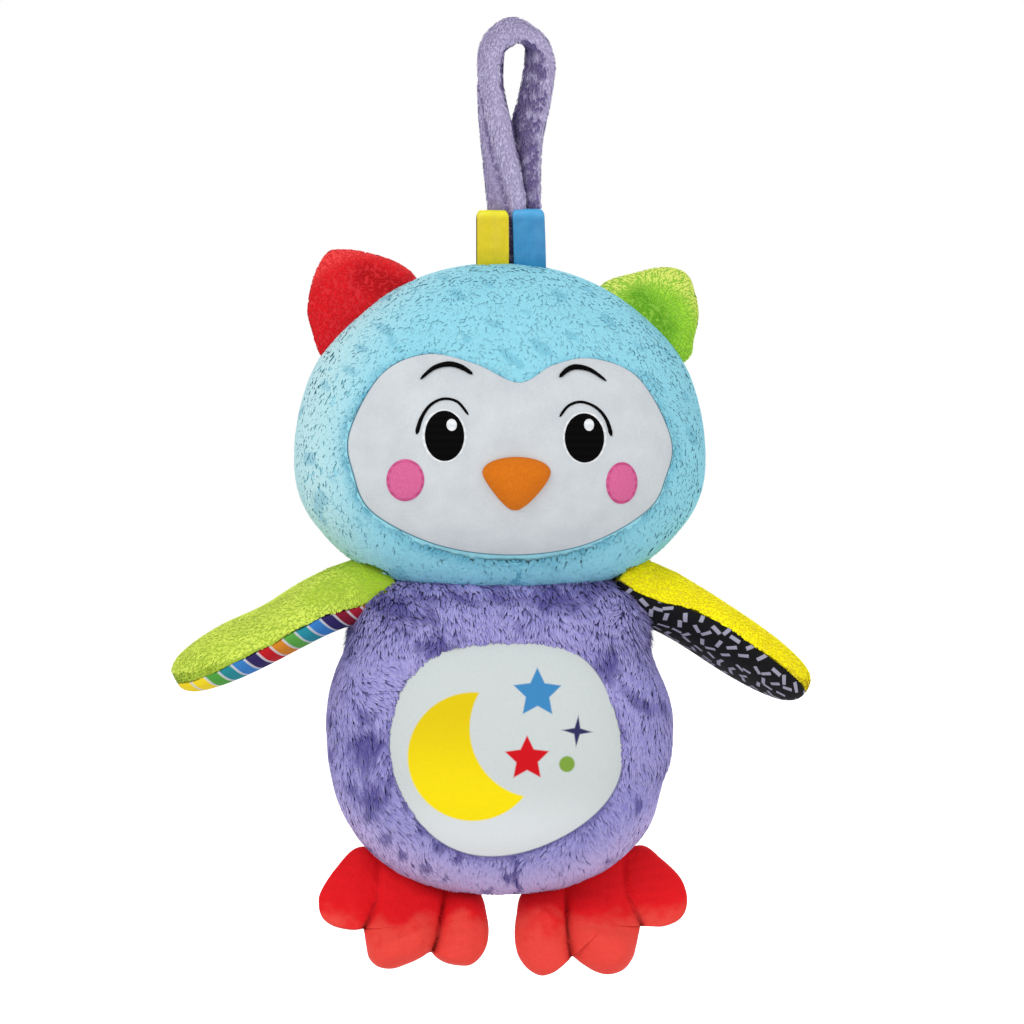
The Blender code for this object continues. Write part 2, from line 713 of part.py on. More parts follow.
def shoulder_recess(side):
    """The hollow that a wing's rounded root turns in."""
    radius = WING_ROOT_RADIUS + 2 * GAP
    depth = WING_ROOT_DEPTH + 4 * GAP
    start = (MIDDLE_X + side * WING_ROOT_OUT, -depth / 2, SHOULDER_Z)
    return rod(f"shoulder_recess_{side}", radius, start, depth, None, "Y", TURNED_SIDES)


shoulders = [shoulder_recess(side) for side in (-1, 1)]


def head():
    """The head, with a groove for the loop's seam and a hollow at each shoulder."""
    made = head_form.mesh("head_plush", PLUSH_BLUE)
    width = LOOP_ROOT_WIDTH + 4 * GAP
    start = (-width / 2, 0.0, SEAM_Z)
    groove = rod("loop_groove", LOOP_ROOT_RADIUS + GAP, start, width, None, "X", SMALL_SIDES * 2)
    cut(made, groove, *shoulders)
    return made


def mirrored_outline(shares, width, height, top_z, steps):
    """A closed outline from the right half's shares, about the owl's middle."""
    right = smooth_run(shares, steps)
    left = right[::-1] * np.array([-1, 1])
    if shares[-1][0] == 0.0:
        left = left[1:]
    if shares[0][0] == 0.0:
        left = left[:-1]
    outline = np.vstack([right, left])
    return outline * np.array([width / 2, height]) + np.array([MIDDLE_X, top_z - height])


def oval_outline(middle_x, middle_z, width, height, count, power=2.0):
    """A superellipse of (x, z) points."""
    turns = np.linspace(0.0, math.tau, count, endpoint=False)
    x = middle_x + width / 2 * signed_power(np.cos(turns), 2 / power)
    z = middle_z + height / 2 * signed_power(np.sin(turns), 2 / power)
    return np.column_stack([x, z])


def face():
    """The white face with its eyes, cheeks and padded beak."""
    outline = mirrored_outline(FACE_OUTLINE_SHARES, FACE_WIDTH, FACE_HEIGHT, FACE_TOP_Z, 2)
    made = [applique("face_panel", head_form, outline, PATCH_ROOM, FACE_THICKNESS, VELBOA_WHITE, rings=5)]
    on_face = PATCH_ROOM + FACE_THICKNESS + PATCH_ROOM
    for side, word in ((-1, "left"), (1, "right")):
        eye_z = FACE_TOP_Z - EYE_BELOW_FACE
        eye = oval_outline(MIDDLE_X + side * EYE_SPACING / 2, eye_z, EYE_WIDTH, EYE_HEIGHT, 20)
        made.append(applique(f"eye_{word}", head_form, eye, on_face, EYE_THICKNESS, THREAD_BLACK, rings=2))
        cheek_z = FACE_TOP_Z - CHEEK_BELOW_FACE
        cheek = oval_outline(
            MIDDLE_X + side * CHEEK_OUT, cheek_z, CHEEK_WIDTH, CHEEK_HEIGHT, 16
        )
        made.append(
            applique(f"cheek_{word}", head_form, cheek, on_face, CHEEK_THICKNESS, FELT_PINK, rings=2)
        )
    beak_top_z = FACE_TOP_Z - BEAK_BELOW_FACE
    outline = mirrored_outline(BEAK_OUTLINE_SHARES, BEAK_WIDTH, BEAK_HEIGHT, beak_top_z, 2)
    dome = BEAK_THICKNESS - BEAK_EDGE
    made.append(applique("beak", head_form, outline, on_face, BEAK_EDGE, FELT_ORANGE, dome=dome, rings=4))
    return made


def ear(name, side, turn, finish):
    """A padded ear, set in the head's side seam."""
    outline = smooth_ring(EAR_OUTLINE_SHARES, 2) * np.array([side * EAR_REACH, EAR_HEIGHT])
    made = pillow(name, outline, 0.0, EAR_THICKNESS, finish, rings=4)
    made.location = (MIDDLE_X, 0.0, EAR_RISE - HEAD_TOP_DROP - EAR_HEIGHT)
    made.rotation_euler = (0.0, turn, 0.0)
    cut(made, head_room)
    return made


def wing_half(name, side, face_side, finish):
    """One face of a wing: a dome over the wing's leaf outline, flat on the seam side."""
    stations = []
    for turn in range(12, 91, 26):
        bend = math.radians(turn)
        stations.append((
            -WING_ROOT_RADIUS * math.cos(bend), WING_ROOT_DEPTH / 2, WING_ROOT_RADIUS * math.sin(bend)
        ))
    for along, depth, thick in smooth_run(WING_STATION_SHARES, 2):
        stations.append((along * WING_LENGTH, depth * WING_DEPTH / 2, thick * WING_FACE_THICKNESS))
    rings = []
    for along, depth, thick in stations:
        arc = np.linspace(0.0, math.pi, SMALL_SIDES)
        ring = [
            (side * along, depth * math.cos(t), face_side * (GAP / 2 + thick * math.sin(t))) for t in arc
        ]
        rings.append(ring)
    return lofted(name, rings, finish)


def wings():
    """Both wings, each of two faces that meet in a seam, on the shoulder's axis."""
    made = []
    colours = (
        (-1, "green", WING_TWIST, PLUSH_GREEN, STRIPED_COTTON),
        (1, "yellow", -WING_TWIST, PLUSH_YELLOW, DASHED_COTTON),
    )
    for side, word, twist, top_finish, under_finish in colours:
        place = (MIDDLE_X + side * WING_ROOT_OUT, 0.0, SHOULDER_Z)
        shoulder = pivot(f"{word}_shoulder", place, (twist, side * WING_DROOP, 0.0))
        top = wing_half(f"wing_{word}_top", side, 1, top_finish)
        under = wing_half(f"wing_{word}_underside", side, -1, under_finish)
        for half in (top, under):
            half.parent = shoulder
            made.append(half)
    return made


def tapered_toe(name, start, end, start_half, end_half, finish):
    """A toe from (half-width, half-thickness) at its root to those at its tip, with rounded ends."""
    start = np.array(start)
    end = np.array(end)
    length = np.linalg.norm(end - start)
    along = (end - start) / length
    rows = []
    for bend in np.radians(np.linspace(75, 15, 3)):
        rows.append((-start_half[1] * math.sin(bend), math.cos(bend), start_half))
    for bend in np.radians(np.linspace(0, 78, 6)):
        rows.append((length + end_half[1] * math.sin(bend), math.cos(bend), end_half))
    turns = np.linspace(0.0, math.tau, SMALL_SIDES + 2, endpoint=False)
    rings = []
    for place, girth, (half_width, half_thickness) in rows:
        ring = [
            start + along * place
            + girth * np.array([half_width * math.cos(t), half_thickness * math.sin(t), 0.0])
            for t in turns
        ]
        rings.append(ring)
    return lofted(name, rings, finish)


def foot_root(name, radius, room):
    """The rounded bar along a foot's seam, with ball ends."""
    reach = FOOT_ROOT_WIDTH / 2
    rows = []
    for t in np.linspace(80, 0, 4):
        bend = math.radians(t)
        rows.append(((radius + room) * math.cos(bend), -reach - (radius + room) * math.sin(bend)))
    rows += [(across, -along) for across, along in reversed(rows)]
    ends = [(0.0, rows[0][1])] + rows + [(0.0, rows[-1][1])]
    return turned(name, ends, (0.0, 0.0, 0.0), None if room else VELBOA_RED, "X", SMALL_SIDES + 4)


def feet():
    """Both feet: three plump toes on a seam bar, and the groove that each bar turns in."""
    made = []
    grooves = []
    for side, word in ((-1, "left"), (1, "right")):
        place = (MIDDLE_X + side * FOOT_OUT, 0.0, FOOT_Z)
        seam = pivot(f"{word}_foot_seam", place, (-FOOT_PITCH, -side * FOOT_TILT, 0.0))
        foot = foot_root(f"foot_{word}", FOOT_ROOT_RADIUS, 0.0)
        foot.parent = seam
        root_half = (TOE_ROOT_WIDTH / 2, FOOT_ROOT_RADIUS - GAP)
        side_half = (TOE_SIDE_WIDTH / 2, TOE_THICKNESS / 2)
        middle_half = (TOE_MIDDLE_WIDTH / 2, TOE_THICKNESS / 2)
        toes = (
            ("outer", TOE_ROOT_OUT, TOE_SIDE_OUT, TOE_SIDE_LENGTH, side_half),
            ("middle", 0.0, 0.0, TOE_MIDDLE_LENGTH, middle_half),
            ("inner", -TOE_ROOT_OUT, -TOE_SIDE_OUT, TOE_SIDE_LENGTH, side_half),
        )
        for toe_word, start_x, end_x, length, end_half in toes:
            start = (side * start_x, 0.0, 0.0)
            end = (side * end_x, 0.0, TOE_THICKNESS / 2 - length)
            toe = tapered_toe(f"toe_{word}_{toe_word}", start, end, root_half, end_half, None)
            toe.parent = seam
            boolean(foot, toe, "UNION")
        groove = foot_root(f"foot_groove_{word}", FOOT_ROOT_RADIUS, 2 * GAP)
        groove.parent = seam
        made.append(foot)
        grooves.append(groove)
    return made, grooves


feet_made, foot_grooves = feet()

lamp_centre = (MIDDLE_X, 0.0, BELLY_Z)
lens_front_y = -body_form.skin_y(MIDDLE_X, BELLY_Z) + LAMP_FRONT_INSET
lip_y = lens_front_y + LENS_RISE
bezel_back_y = lip_y + BEZEL_DEPTH
board_back_y = LAMP_BACK_Y - LAMP_WALL - BOARD_LIFT
board_front_y = board_back_y - BOARD_THICKNESS
switch_front_y = board_front_y - GAP - PRESS_SWITCH_HEIGHT
lead_z = BELLY_Z + LEAD_RISE
box_back_y = FLAP_FLOOR_Y - GAP - KNOB_PROUD - GAP
box_front_y = box_back_y - BATTERY_BOX_DEPTH


def around_lamp(radius, turn):
    """A point of a circle about the lamp's middle, in the belly's plane."""
    return (lamp_centre[0] + radius * math.sin(turn), lamp_centre[2] + radius * math.cos(turn))


def lamp_turns(start_share):
    """Three even turns about the lamp, from a share of a third."""
    return [math.tau * (k + start_share) / THREE for k in range(THREE)]


def lamp_unit():
    """The press lamp: a diffuser that slides in its bezel, the base, the board and what is on it."""
    base_x, base_z = lamp_centre[0], lamp_centre[2]
    arc = [math.radians(t) for t in range(0, 91, 15)]
    skirt_back = lip_y + LENS_SKIRT
    dome = [(LENS_RADIUS * math.sin(t), lip_y - LENS_RISE * math.cos(t)) for t in arc]
    inner_radius = LENS_RADIUS - LENS_WALL
    inner_rise = LENS_RISE - LENS_WALL
    hollow = [
        (inner_radius * math.sin(t), lip_y - inner_rise * math.cos(t)) for t in reversed(arc)
    ]
    post_back = switch_front_y - PLUNGER_REACH - GAP
    post = PLUNGER_RADIUS + LENS_WALL / 2
    flange = LENS_RADIUS + LENS_FLANGE
    flange_front = skirt_back - LENS_FLANGE
    profile = dome + [(LENS_RADIUS, flange_front), (flange, flange_front), (flange, skirt_back)]
    profile += [(inner_radius, skirt_back)] + hollow[:-1]
    profile += [(post, lip_y - inner_rise), (post, post_back), (0.0, post_back)]
    lens = turned("lamp_lens", profile, (base_x, 0.0, base_z), DIFFUSER)

    mouth = LENS_RADIUS + GAP
    seat = flange + GAP
    lip_back = flange_front - GAP
    profile = [
        (mouth, lip_y), (LAMP_RADIUS, lip_y + BEZEL_SLOPE), (LAMP_RADIUS, bezel_back_y),
        (seat, bezel_back_y), (seat, lip_back), (mouth, lip_back),
    ]
    bezel = turned("lamp_bezel", profile, (base_x, 0.0, base_z), WHITE_PLASTIC)

    base_front = bezel_back_y + GAP
    cup = LAMP_RADIUS - LAMP_WALL
    profile = [
        (0.0, LAMP_BACK_Y), (LAMP_RADIUS, LAMP_BACK_Y), (LAMP_RADIUS, base_front), (cup, base_front),
        (cup, LAMP_BACK_Y - LAMP_WALL), (0.0, LAMP_BACK_Y - LAMP_WALL),
    ]
    base = turned("lamp_base", profile, (base_x, 0.0, base_z), WHITE_PLASTIC)
    screws = []
    for number, turn in enumerate(lamp_turns(0.5), 1):
        x, z = around_lamp(POST_CIRCLE, turn)
        post_y = LAMP_BACK_Y - LAMP_WALL / 2
        boss = rod(f"base_post_{number}", POST_RADIUS, (x, base_front, z), post_y - base_front, None,
                   sides=SMALL_SIDES)
        boolean(base, boss, "UNION")
        hole_radius = LAMP_SCREW_RADIUS + GAP
        sink_radius = LAMP_SCREW_HEAD_RADIUS + GAP
        sink_y = LAMP_BACK_Y - LAMP_SCREW_HEAD - GAP
        profile = [
            (0.0, base_front - OVERRUN), (hole_radius, base_front - OVERRUN), (hole_radius, sink_y),
            (sink_radius, sink_y), (sink_radius, LAMP_BACK_Y + OVERRUN), (0.0, LAMP_BACK_Y + OVERRUN),
        ]
        cut(base, turned(f"base_hole_{number}", profile, (x, 0.0, z), None, sides=SMALL_SIDES + 2))
        tip_y = LAMP_BACK_Y - LAMP_SCREW_LENGTH - LAMP_SCREW_HEAD
        thread = rod(f"bezel_hole_{number}", hole_radius, (x, tip_y - 2 * GAP, z), LAMP_SCREW_LENGTH,
                     None, sides=SMALL_SIDES)
        cut(bezel, thread)
        head_y = LAMP_BACK_Y - LAMP_SCREW_HEAD
        profile = [
            (0.0, tip_y), (LAMP_SCREW_RADIUS, tip_y), (LAMP_SCREW_RADIUS, head_y),
            (LAMP_SCREW_HEAD_RADIUS, head_y), (LAMP_SCREW_HEAD_RADIUS, LAMP_BACK_Y), (0.0, LAMP_BACK_Y),
        ]
        screws.append(turned(f"lamp_screw_{number}", profile, (x, 0.0, z), STEEL, sides=SMALL_SIDES))
    lead_hole = block(
        "lead_hole",
        (base_x + LEAD_OUT - LEAD_SPACING, LAMP_BACK_Y - LAMP_WALL - OVERRUN, lead_z - LEAD_DIAMETER),
        (base_x + LEAD_OUT + LEAD_SPACING, LAMP_BACK_Y + OVERRUN, lead_z + LEAD_DIAMETER), None,
    )
    cut(base, lead_hole)

    board = rod("lamp_board", BOARD_RADIUS, (base_x, board_front_y, base_z), BOARD_THICKNESS,
                BOARD_GREEN)
    rest_back = LAMP_BACK_Y - LAMP_WALL / 2
    rest_front = board_back_y + GAP
    rest = turned(
        "board_rest",
        [(BOARD_RADIUS - LAMP_WALL, rest_front), (BOARD_RADIUS, rest_front), (BOARD_RADIUS, rest_back),
         (BOARD_RADIUS - LAMP_WALL, rest_back)],
        (base_x, 0.0, base_z), None,
    )
    boolean(base, rest, "UNION")
    lights = []
    for number, turn in enumerate(lamp_turns(0.0), 1):
        x, z = around_lamp(LED_CIRCLE, turn)
        foot_y = board_front_y - GAP
        shoulder_y = foot_y - LED_HEIGHT + LED_RADIUS
        bulb = [(LED_RADIUS * math.sin(t), shoulder_y - LED_RADIUS * math.cos(t)) for t in arc[::2]]
        profile = bulb + [(LED_RADIUS, foot_y), (0.0, foot_y)]
        lights.append(turned(f"led_{number}", profile, (x, 0.0, z), LED_CLEAR, sides=SMALL_SIDES))
    half = PRESS_SWITCH_SIDE / 2
    switch = block(
        "press_switch", (base_x - half, switch_front_y, base_z - half),
        (base_x + half, board_front_y - GAP, base_z + half), BLACK_PLASTIC,
    )
    well_depth = PLUNGER_SINK + LENS_TRAVEL + GAP
    well = rod("plunger_well", PLUNGER_RADIUS + GAP, (base_x, switch_front_y - OVERRUN, base_z),
               well_depth + OVERRUN, None, sides=SMALL_SIDES)
    cut(switch, well)
    plunger_length = PLUNGER_REACH + PLUNGER_SINK
    plunger = rod("switch_plunger", PLUNGER_RADIUS, (base_x, switch_front_y - PLUNGER_REACH, base_z),
                  plunger_length, BLACK_PLASTIC, sides=SMALL_SIDES)
    button = pivot("lamp_button_axis", (base_x, lip_y, base_z))
    carry(button, lens, plunger)
    return [lens, bezel, base, board, switch, plunger, *screws, *lights]


def cell_places():
    """The height of each battery cell's axis."""
    low = BATTERY_BOTTOM_Z + BATTERY_WALL + CELL_ROOM + CELL_RADIUS
    return [low + k * CELL_PITCH for k in range(THREE)]


def contact_spring(name, side, x, y, z):
    """A battery's coil spring: a wire that winds in to a narrower tip."""
    steps = SPRING_TURNS * SPRING_STEPS
    length = CELL_END_ROOM - CONTACT_PLATE - SPRING_WIRE - 3 * GAP
    curve = bpy.data.curves.new(name, "CURVE")
    curve.dimensions = "3D"
    curve.bevel_depth = SPRING_WIRE / 2
    curve.bevel_resolution = 1
    curve.use_fill_caps = True
    run = curve.splines.new("POLY")
    run.points.add(steps)
    for step in range(steps + 1):
        share = step / steps
        radius = SPRING_RADIUS + (SPRING_TIP_RADIUS - SPRING_RADIUS) * share
        turn = math.tau * SPRING_TURNS * share
        place = (x + side * length * share, y + radius * math.cos(turn), z + radius * math.sin(turn))
        run.points[step].co = (*place, 1.0)
    curve.materials.append(STEEL)
    made = bpy.data.objects.new(name, curve)
    bpy.context.collection.objects.link(made)
    return made


def battery_unit():
    """The battery box with its cells, contacts, cover, screw and slide switch."""
    made = []
    left = MIDDLE_X - BATTERY_BOX_WIDTH / 2
    right = MIDDLE_X + BATTERY_BOX_WIDTH / 2
    bottom, top = BATTERY_BOTTOM_Z, BATTERY_TOP_Z
    box = block("battery_box", (left, box_front_y, bottom), (right, box_back_y, top), WHITE_PLASTIC)
    places = cell_places()
    well_top = places[-1] + CELL_RADIUS + CELL_ROOM
    cover_top = well_top + COVER_STRIP
    rebate_y = box_back_y - COVER_THICKNESS - GAP
    well = block(
        "cell_well", (left + BATTERY_WALL, box_front_y + BATTERY_WALL, bottom + BATTERY_WALL),
        (right - BATTERY_WALL, box_back_y + OVERRUN, well_top), None,
    )
    edge = BATTERY_WALL / 2
    rebate = block(
        "cover_rebate", (left + edge, rebate_y, bottom + edge),
        (right - edge, box_back_y + OVERRUN, cover_top), None,
    )
    cut(box, well, rebate)
    cover = block(
        "battery_cover", (left + edge + GAP, rebate_y + GAP, bottom + edge + GAP),
        (right - edge - GAP, box_back_y, cover_top - GAP), WHITE_PLASTIC,
    )
    screw_z = (well_top + cover_top) / 2
    tip_y = box_back_y - COVER_SCREW_LENGTH
    under_head_y = box_back_y - COVER_SCREW_HEAD
    profile = [
        (0.0, tip_y), (COVER_SCREW_RADIUS, tip_y), (COVER_SCREW_RADIUS, under_head_y),
        (COVER_SCREW_HEAD_RADIUS, under_head_y), (COVER_SCREW_HEAD_RADIUS, box_back_y), (0.0, box_back_y),
    ]
    made.append(turned("cover_screw", profile, (MIDDLE_X, 0.0, screw_z), STEEL, sides=SMALL_SIDES))
    hole = rod("cover_hole", COVER_SCREW_RADIUS + GAP, (MIDDLE_X, tip_y - GAP, screw_z),
               COVER_SCREW_LENGTH + OVERRUN, None, sides=SMALL_SIDES)
    sink = rod("cover_sink", COVER_SCREW_HEAD_RADIUS + GAP, (MIDDLE_X, under_head_y - GAP, screw_z),
               OVERRUN, None, sides=SMALL_SIDES)
    cut(box, hole)
    cut(cover, hole, sink)

    cell_y = box_front_y + BATTERY_WALL + CELL_ROOM + CELL_RADIUS
    wall_reach = BATTERY_BOX_WIDTH / 2 - BATTERY_WALL
    tip = CELL_LENGTH + CELL_NUB
    for number, z in enumerate(places, 1):
        side = 1 if number % 2 else -1
        minus_x = MIDDLE_X - side * (wall_reach - 2 * CELL_END_ROOM + CONTACT_PLATE + 2 * GAP)
        profile = [
            (0.0, 0.0), (CELL_RADIUS, 0.0), (CELL_RADIUS, side * CELL_LENGTH),
            (CELL_NUB_RADIUS, side * CELL_LENGTH), (CELL_NUB_RADIUS, side * tip), (0.0, side * tip),
        ]
        cell = turned(
            f"battery_cell_{number}", profile, (minus_x, cell_y, z), CELL_WRAP, "X", SMALL_SIDES + 4
        )
        made.append(cell)
        half = CONTACT_WIDTH / 2
        for word, end in (("plus", 1), ("minus", -1)):
            wall_x = MIDDLE_X + end * side * (wall_reach - GAP)
            near_x = wall_x - end * side * CONTACT_PLATE
            low_x, high_x = sorted((wall_x, near_x))
            made.append(block(
                f"contact_{word}_{number}", (low_x, cell_y - half, z - half),
                (high_x, cell_y + half, z + half), STEEL,
            ))
        plate_x = MIDDLE_X - side * (wall_reach - CONTACT_PLATE - 2 * GAP)
        wire_x = plate_x + side * SPRING_WIRE / 2
        made.append(contact_spring(f"contact_spring_{number}", side, wire_x, cell_y, z))

    switch_z = (cover_top + top) / 2
    switch_low = (MIDDLE_X - SWITCH_WIDTH / 2, box_back_y - SWITCH_DEPTH, switch_z - SWITCH_HEIGHT / 2)
    switch_high = (MIDDLE_X + SWITCH_WIDTH / 2, box_back_y, switch_z + SWITCH_HEIGHT / 2)
    switch = block("slide_switch", switch_low, switch_high, BLACK_PLASTIC)
    pocket = block(
        "switch_pocket", [value - GAP for value in switch_low],
        (switch_high[0] + GAP, box_back_y + OVERRUN, switch_high[2] + GAP), None,
    )
    cut(box, pocket)
    knob_x = MIDDLE_X - KNOB_TRAVEL / 2
    knob = block(
        "switch_knob", (knob_x - KNOB_WIDTH / 2, box_back_y - KNOB_SINK, switch_z - KNOB_HEIGHT / 2),
        (knob_x + KNOB_WIDTH / 2, box_back_y + KNOB_PROUD, switch_z + KNOB_HEIGHT / 2), BLACK_PLASTIC,
    )
    slot = block(
        "knob_slot",
        (knob_x - KNOB_WIDTH / 2 - GAP, box_back_y - KNOB_SINK - GAP, switch_z - KNOB_HEIGHT / 2 - GAP),
        (knob_x + KNOB_WIDTH / 2 + KNOB_TRAVEL + GAP, box_back_y + OVERRUN,
         switch_z + KNOB_HEIGHT / 2 + GAP), None,
    )
    cut(switch, slot)
    runner = pivot("switch_knob_axis", (knob_x, box_back_y, switch_z))
    carry(runner, knob)
    return [box, cover, switch, knob, *made]


def power_lead(name, side, finish):
    """A lead from the battery box to the lamp's board, eased sideways on its way."""
    from_y = box_front_y - GAP
    to_y = board_back_y + GAP
    from_x = MIDDLE_X + LEAD_OUT + side * LEAD_SPACING / 2
    curve = bpy.data.curves.new(name, "CURVE")
    curve.dimensions = "3D"
    curve.bevel_depth = LEAD_DIAMETER / 2
    curve.bevel_resolution = 2
    curve.use_fill_caps = True
    run = curve.splines.new("POLY")
    route = smooth_run(LEAD_ROUTE_SHARES, 3)
    run.points.add(len(route) - 1)
    for number, (along, ease) in enumerate(route):
        x = from_x - side * ease * LEAD_EASE
        run.points[number].co = (x, from_y + (to_y - from_y) * along, lead_z, 1.0)
    curve.materials.append(finish)
    made = bpy.data.objects.new(name, curve)
    bpy.context.collection.objects.link(made)
    return made


flap_height = FLAP_TOP_Z - FLAP_BOTTOM_Z
flap_centre = (MIDDLE_X, FLAP_BOTTOM_Z + flap_height / 2)


def back_flap():
    """The padded flap: a piece of the body's own skin, flat inside, that turns on its top edge."""
    made = body_form.mesh("back_flap", PLUSH_VIOLET)
    outline = rounded_outline(flap_centre, FLAP_WIDTH, flap_height, FLAP_CORNER)
    window = prism("flap_window", outline, FLAP_FLOOR_Y, BODY_DEPTH, None)
    boolean(made, window, "INTERSECT")
    hinge = pivot("flap_hinge", (MIDDLE_X, body_form.skin_y(MIDDLE_X, FLAP_TOP_Z), FLAP_TOP_Z))
    carry(hinge, made)
    return made


def flap_tapes():
    """The hook tape on the flap and the loop tape under it, near the flap's lower edge."""
    low_z = FLAP_BOTTOM_Z + TAPE_MARGIN
    tapes = []
    for number, name in enumerate(("hook_tape", "loop_tape")):
        back = FLAP_FLOOR_Y - GAP - number * (TAPE_THICKNESS + GAP)
        tapes.append(block(
            name, (MIDDLE_X - TAPE_WIDTH / 2, back - TAPE_THICKNESS, low_z),
            (MIDDLE_X + TAPE_WIDTH / 2, back, low_z + TAPE_HEIGHT), TAPE_VIOLET,
        ))
    carry(bpy.data.objects["flap_hinge"], tapes[0])
    room = 3 * GAP
    pocket = block(
        "tape_pocket",
        (MIDDLE_X - TAPE_WIDTH / 2 - room, FLAP_FLOOR_Y - 2 * (TAPE_THICKNESS + GAP) - GAP, low_z - room),
        (MIDDLE_X + TAPE_WIDTH / 2 + room, FLAP_FLOOR_Y + OVERRUN, low_z + TAPE_HEIGHT + room), None,
    )
    return tapes, pocket


def body(tape_pocket):
    """The body, with what it is cut by and the pockets that hold the lamp and the batteries."""
    made = body_form.mesh("body_plush", PLUSH_VIOLET)
    lamp_pocket = rod(
        "lamp_pocket", LAMP_RADIUS + GAP, (lamp_centre[0], -BODY_DEPTH, lamp_centre[2]),
        BODY_DEPTH + LAMP_BACK_Y + GAP, None,
    )
    reach_x = BATTERY_BOX_WIDTH / 2 + GAP
    battery_pocket = block(
        "battery_pocket", (MIDDLE_X - reach_x, box_front_y - GAP, BATTERY_BOTTOM_Z - GAP),
        (MIDDLE_X + reach_x, FLAP_FLOOR_Y + OVERRUN, BATTERY_TOP_Z + GAP), None,
    )
    outline = rounded_outline(
        flap_centre, FLAP_WIDTH + 2 * GAP, flap_height + 2 * GAP, FLAP_CORNER + GAP
    )
    flap_recess = prism("flap_recess", outline, FLAP_FLOOR_Y - GAP, BODY_DEPTH, None)
    channel = rod(
        "lead_channel", LEAD_CHANNEL_RADIUS, (MIDDLE_X + LEAD_OUT, LAMP_BACK_Y - OVERRUN, lead_z),
        box_front_y - LAMP_BACK_Y + 2 * OVERRUN, None, sides=SMALL_SIDES,
    )
    cut(made, head_room, *shoulders, *foot_grooves, lamp_pocket, battery_pocket, flap_recess,
        tape_pocket, channel)
    return made


hang_loop()
ribbon_tag("tag_yellow", -TAG_SPACING / 2 - TAG_SHIFT, -TAG_LEAN, SATIN_YELLOW)
ribbon_tag("tag_blue", TAG_SPACING / 2 - TAG_SHIFT, TAG_LEAN, SATIN_BLUE)
head()
face()
ear("ear_red", -1, EAR_TURN, PLUSH_RED)
ear("ear_green", 1, EAR_TURN, PLUSH_LIME)
wings()
lamp_unit()
battery_unit()
power_lead("lead_red", 1, LEAD_RED)
power_lead("lead_black", -1, LEAD_BLACK)
back_flap()
tapes_made, tape_room = flap_tapes()
body(tape_room)
belly_outline = oval_outline(MIDDLE_X, BELLY_Z, BELLY_WIDTH, BELLY_HEIGHT, 36, BELLY_POWER)
applique("belly_panel", body_form, belly_outline, PATCH_ROOM, BELLY_THICKNESS, PRINT_WHITE, rings=4)
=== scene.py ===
"""The looks of a plush owl night light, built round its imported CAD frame."""
import math

import bmesh
import bpy
import numpy as np
from mathutils import Euler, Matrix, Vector, kdtree


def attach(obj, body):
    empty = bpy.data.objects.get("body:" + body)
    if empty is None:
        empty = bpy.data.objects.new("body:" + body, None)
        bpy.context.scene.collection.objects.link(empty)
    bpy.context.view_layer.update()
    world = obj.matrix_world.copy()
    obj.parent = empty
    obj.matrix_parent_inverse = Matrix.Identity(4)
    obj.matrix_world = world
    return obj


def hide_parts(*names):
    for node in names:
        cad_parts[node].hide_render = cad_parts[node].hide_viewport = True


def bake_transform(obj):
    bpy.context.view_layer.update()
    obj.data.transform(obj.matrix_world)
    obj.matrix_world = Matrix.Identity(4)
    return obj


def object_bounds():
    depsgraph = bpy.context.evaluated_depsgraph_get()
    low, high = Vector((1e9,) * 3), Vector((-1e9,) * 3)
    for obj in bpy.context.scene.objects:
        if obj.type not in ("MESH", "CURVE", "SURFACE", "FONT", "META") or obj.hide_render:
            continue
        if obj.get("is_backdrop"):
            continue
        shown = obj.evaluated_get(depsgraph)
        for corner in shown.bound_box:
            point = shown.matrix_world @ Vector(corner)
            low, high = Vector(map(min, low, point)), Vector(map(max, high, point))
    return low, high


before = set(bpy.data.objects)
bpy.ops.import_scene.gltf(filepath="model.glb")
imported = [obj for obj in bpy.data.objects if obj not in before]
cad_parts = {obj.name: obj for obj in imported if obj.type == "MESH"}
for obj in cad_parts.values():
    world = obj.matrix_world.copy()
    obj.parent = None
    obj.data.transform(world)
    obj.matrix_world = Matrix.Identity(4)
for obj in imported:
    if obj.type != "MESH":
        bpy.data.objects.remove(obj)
cad_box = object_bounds()

# Camera: level with the toy and a little to its right, so that its front turns to the viewer's
# right. The frame is 0.341 m across at the loop's hook, as in the photograph.
CAMERA_TARGET = Vector((-0.0005, 0.0, -0.15433))
CAMERA_AZIMUTH = math.radians(-6)
CAMERA_DISTANCE = 1.6
FRAME_ACROSS = 0.34133
back = Vector((math.sin(CAMERA_AZIMUTH), -math.cos(CAMERA_AZIMUTH), 0.0))
lens = bpy.data.cameras.new("camera")
lens.sensor_width = 36.0
lens.lens = lens.sensor_width * CAMERA_DISTANCE / FRAME_ACROSS
camera = bpy.data.objects.new("camera", lens)
camera.location = CAMERA_TARGET + back * CAMERA_DISTANCE
camera.rotation_mode = "QUATERNION"
camera.rotation_quaternion = (-back).to_track_quat("-Z", "Y")
bpy.context.collection.objects.link(camera)
bpy.context.scene.camera = camera
bpy.context.scene.view_settings.view_transform = "Standard"


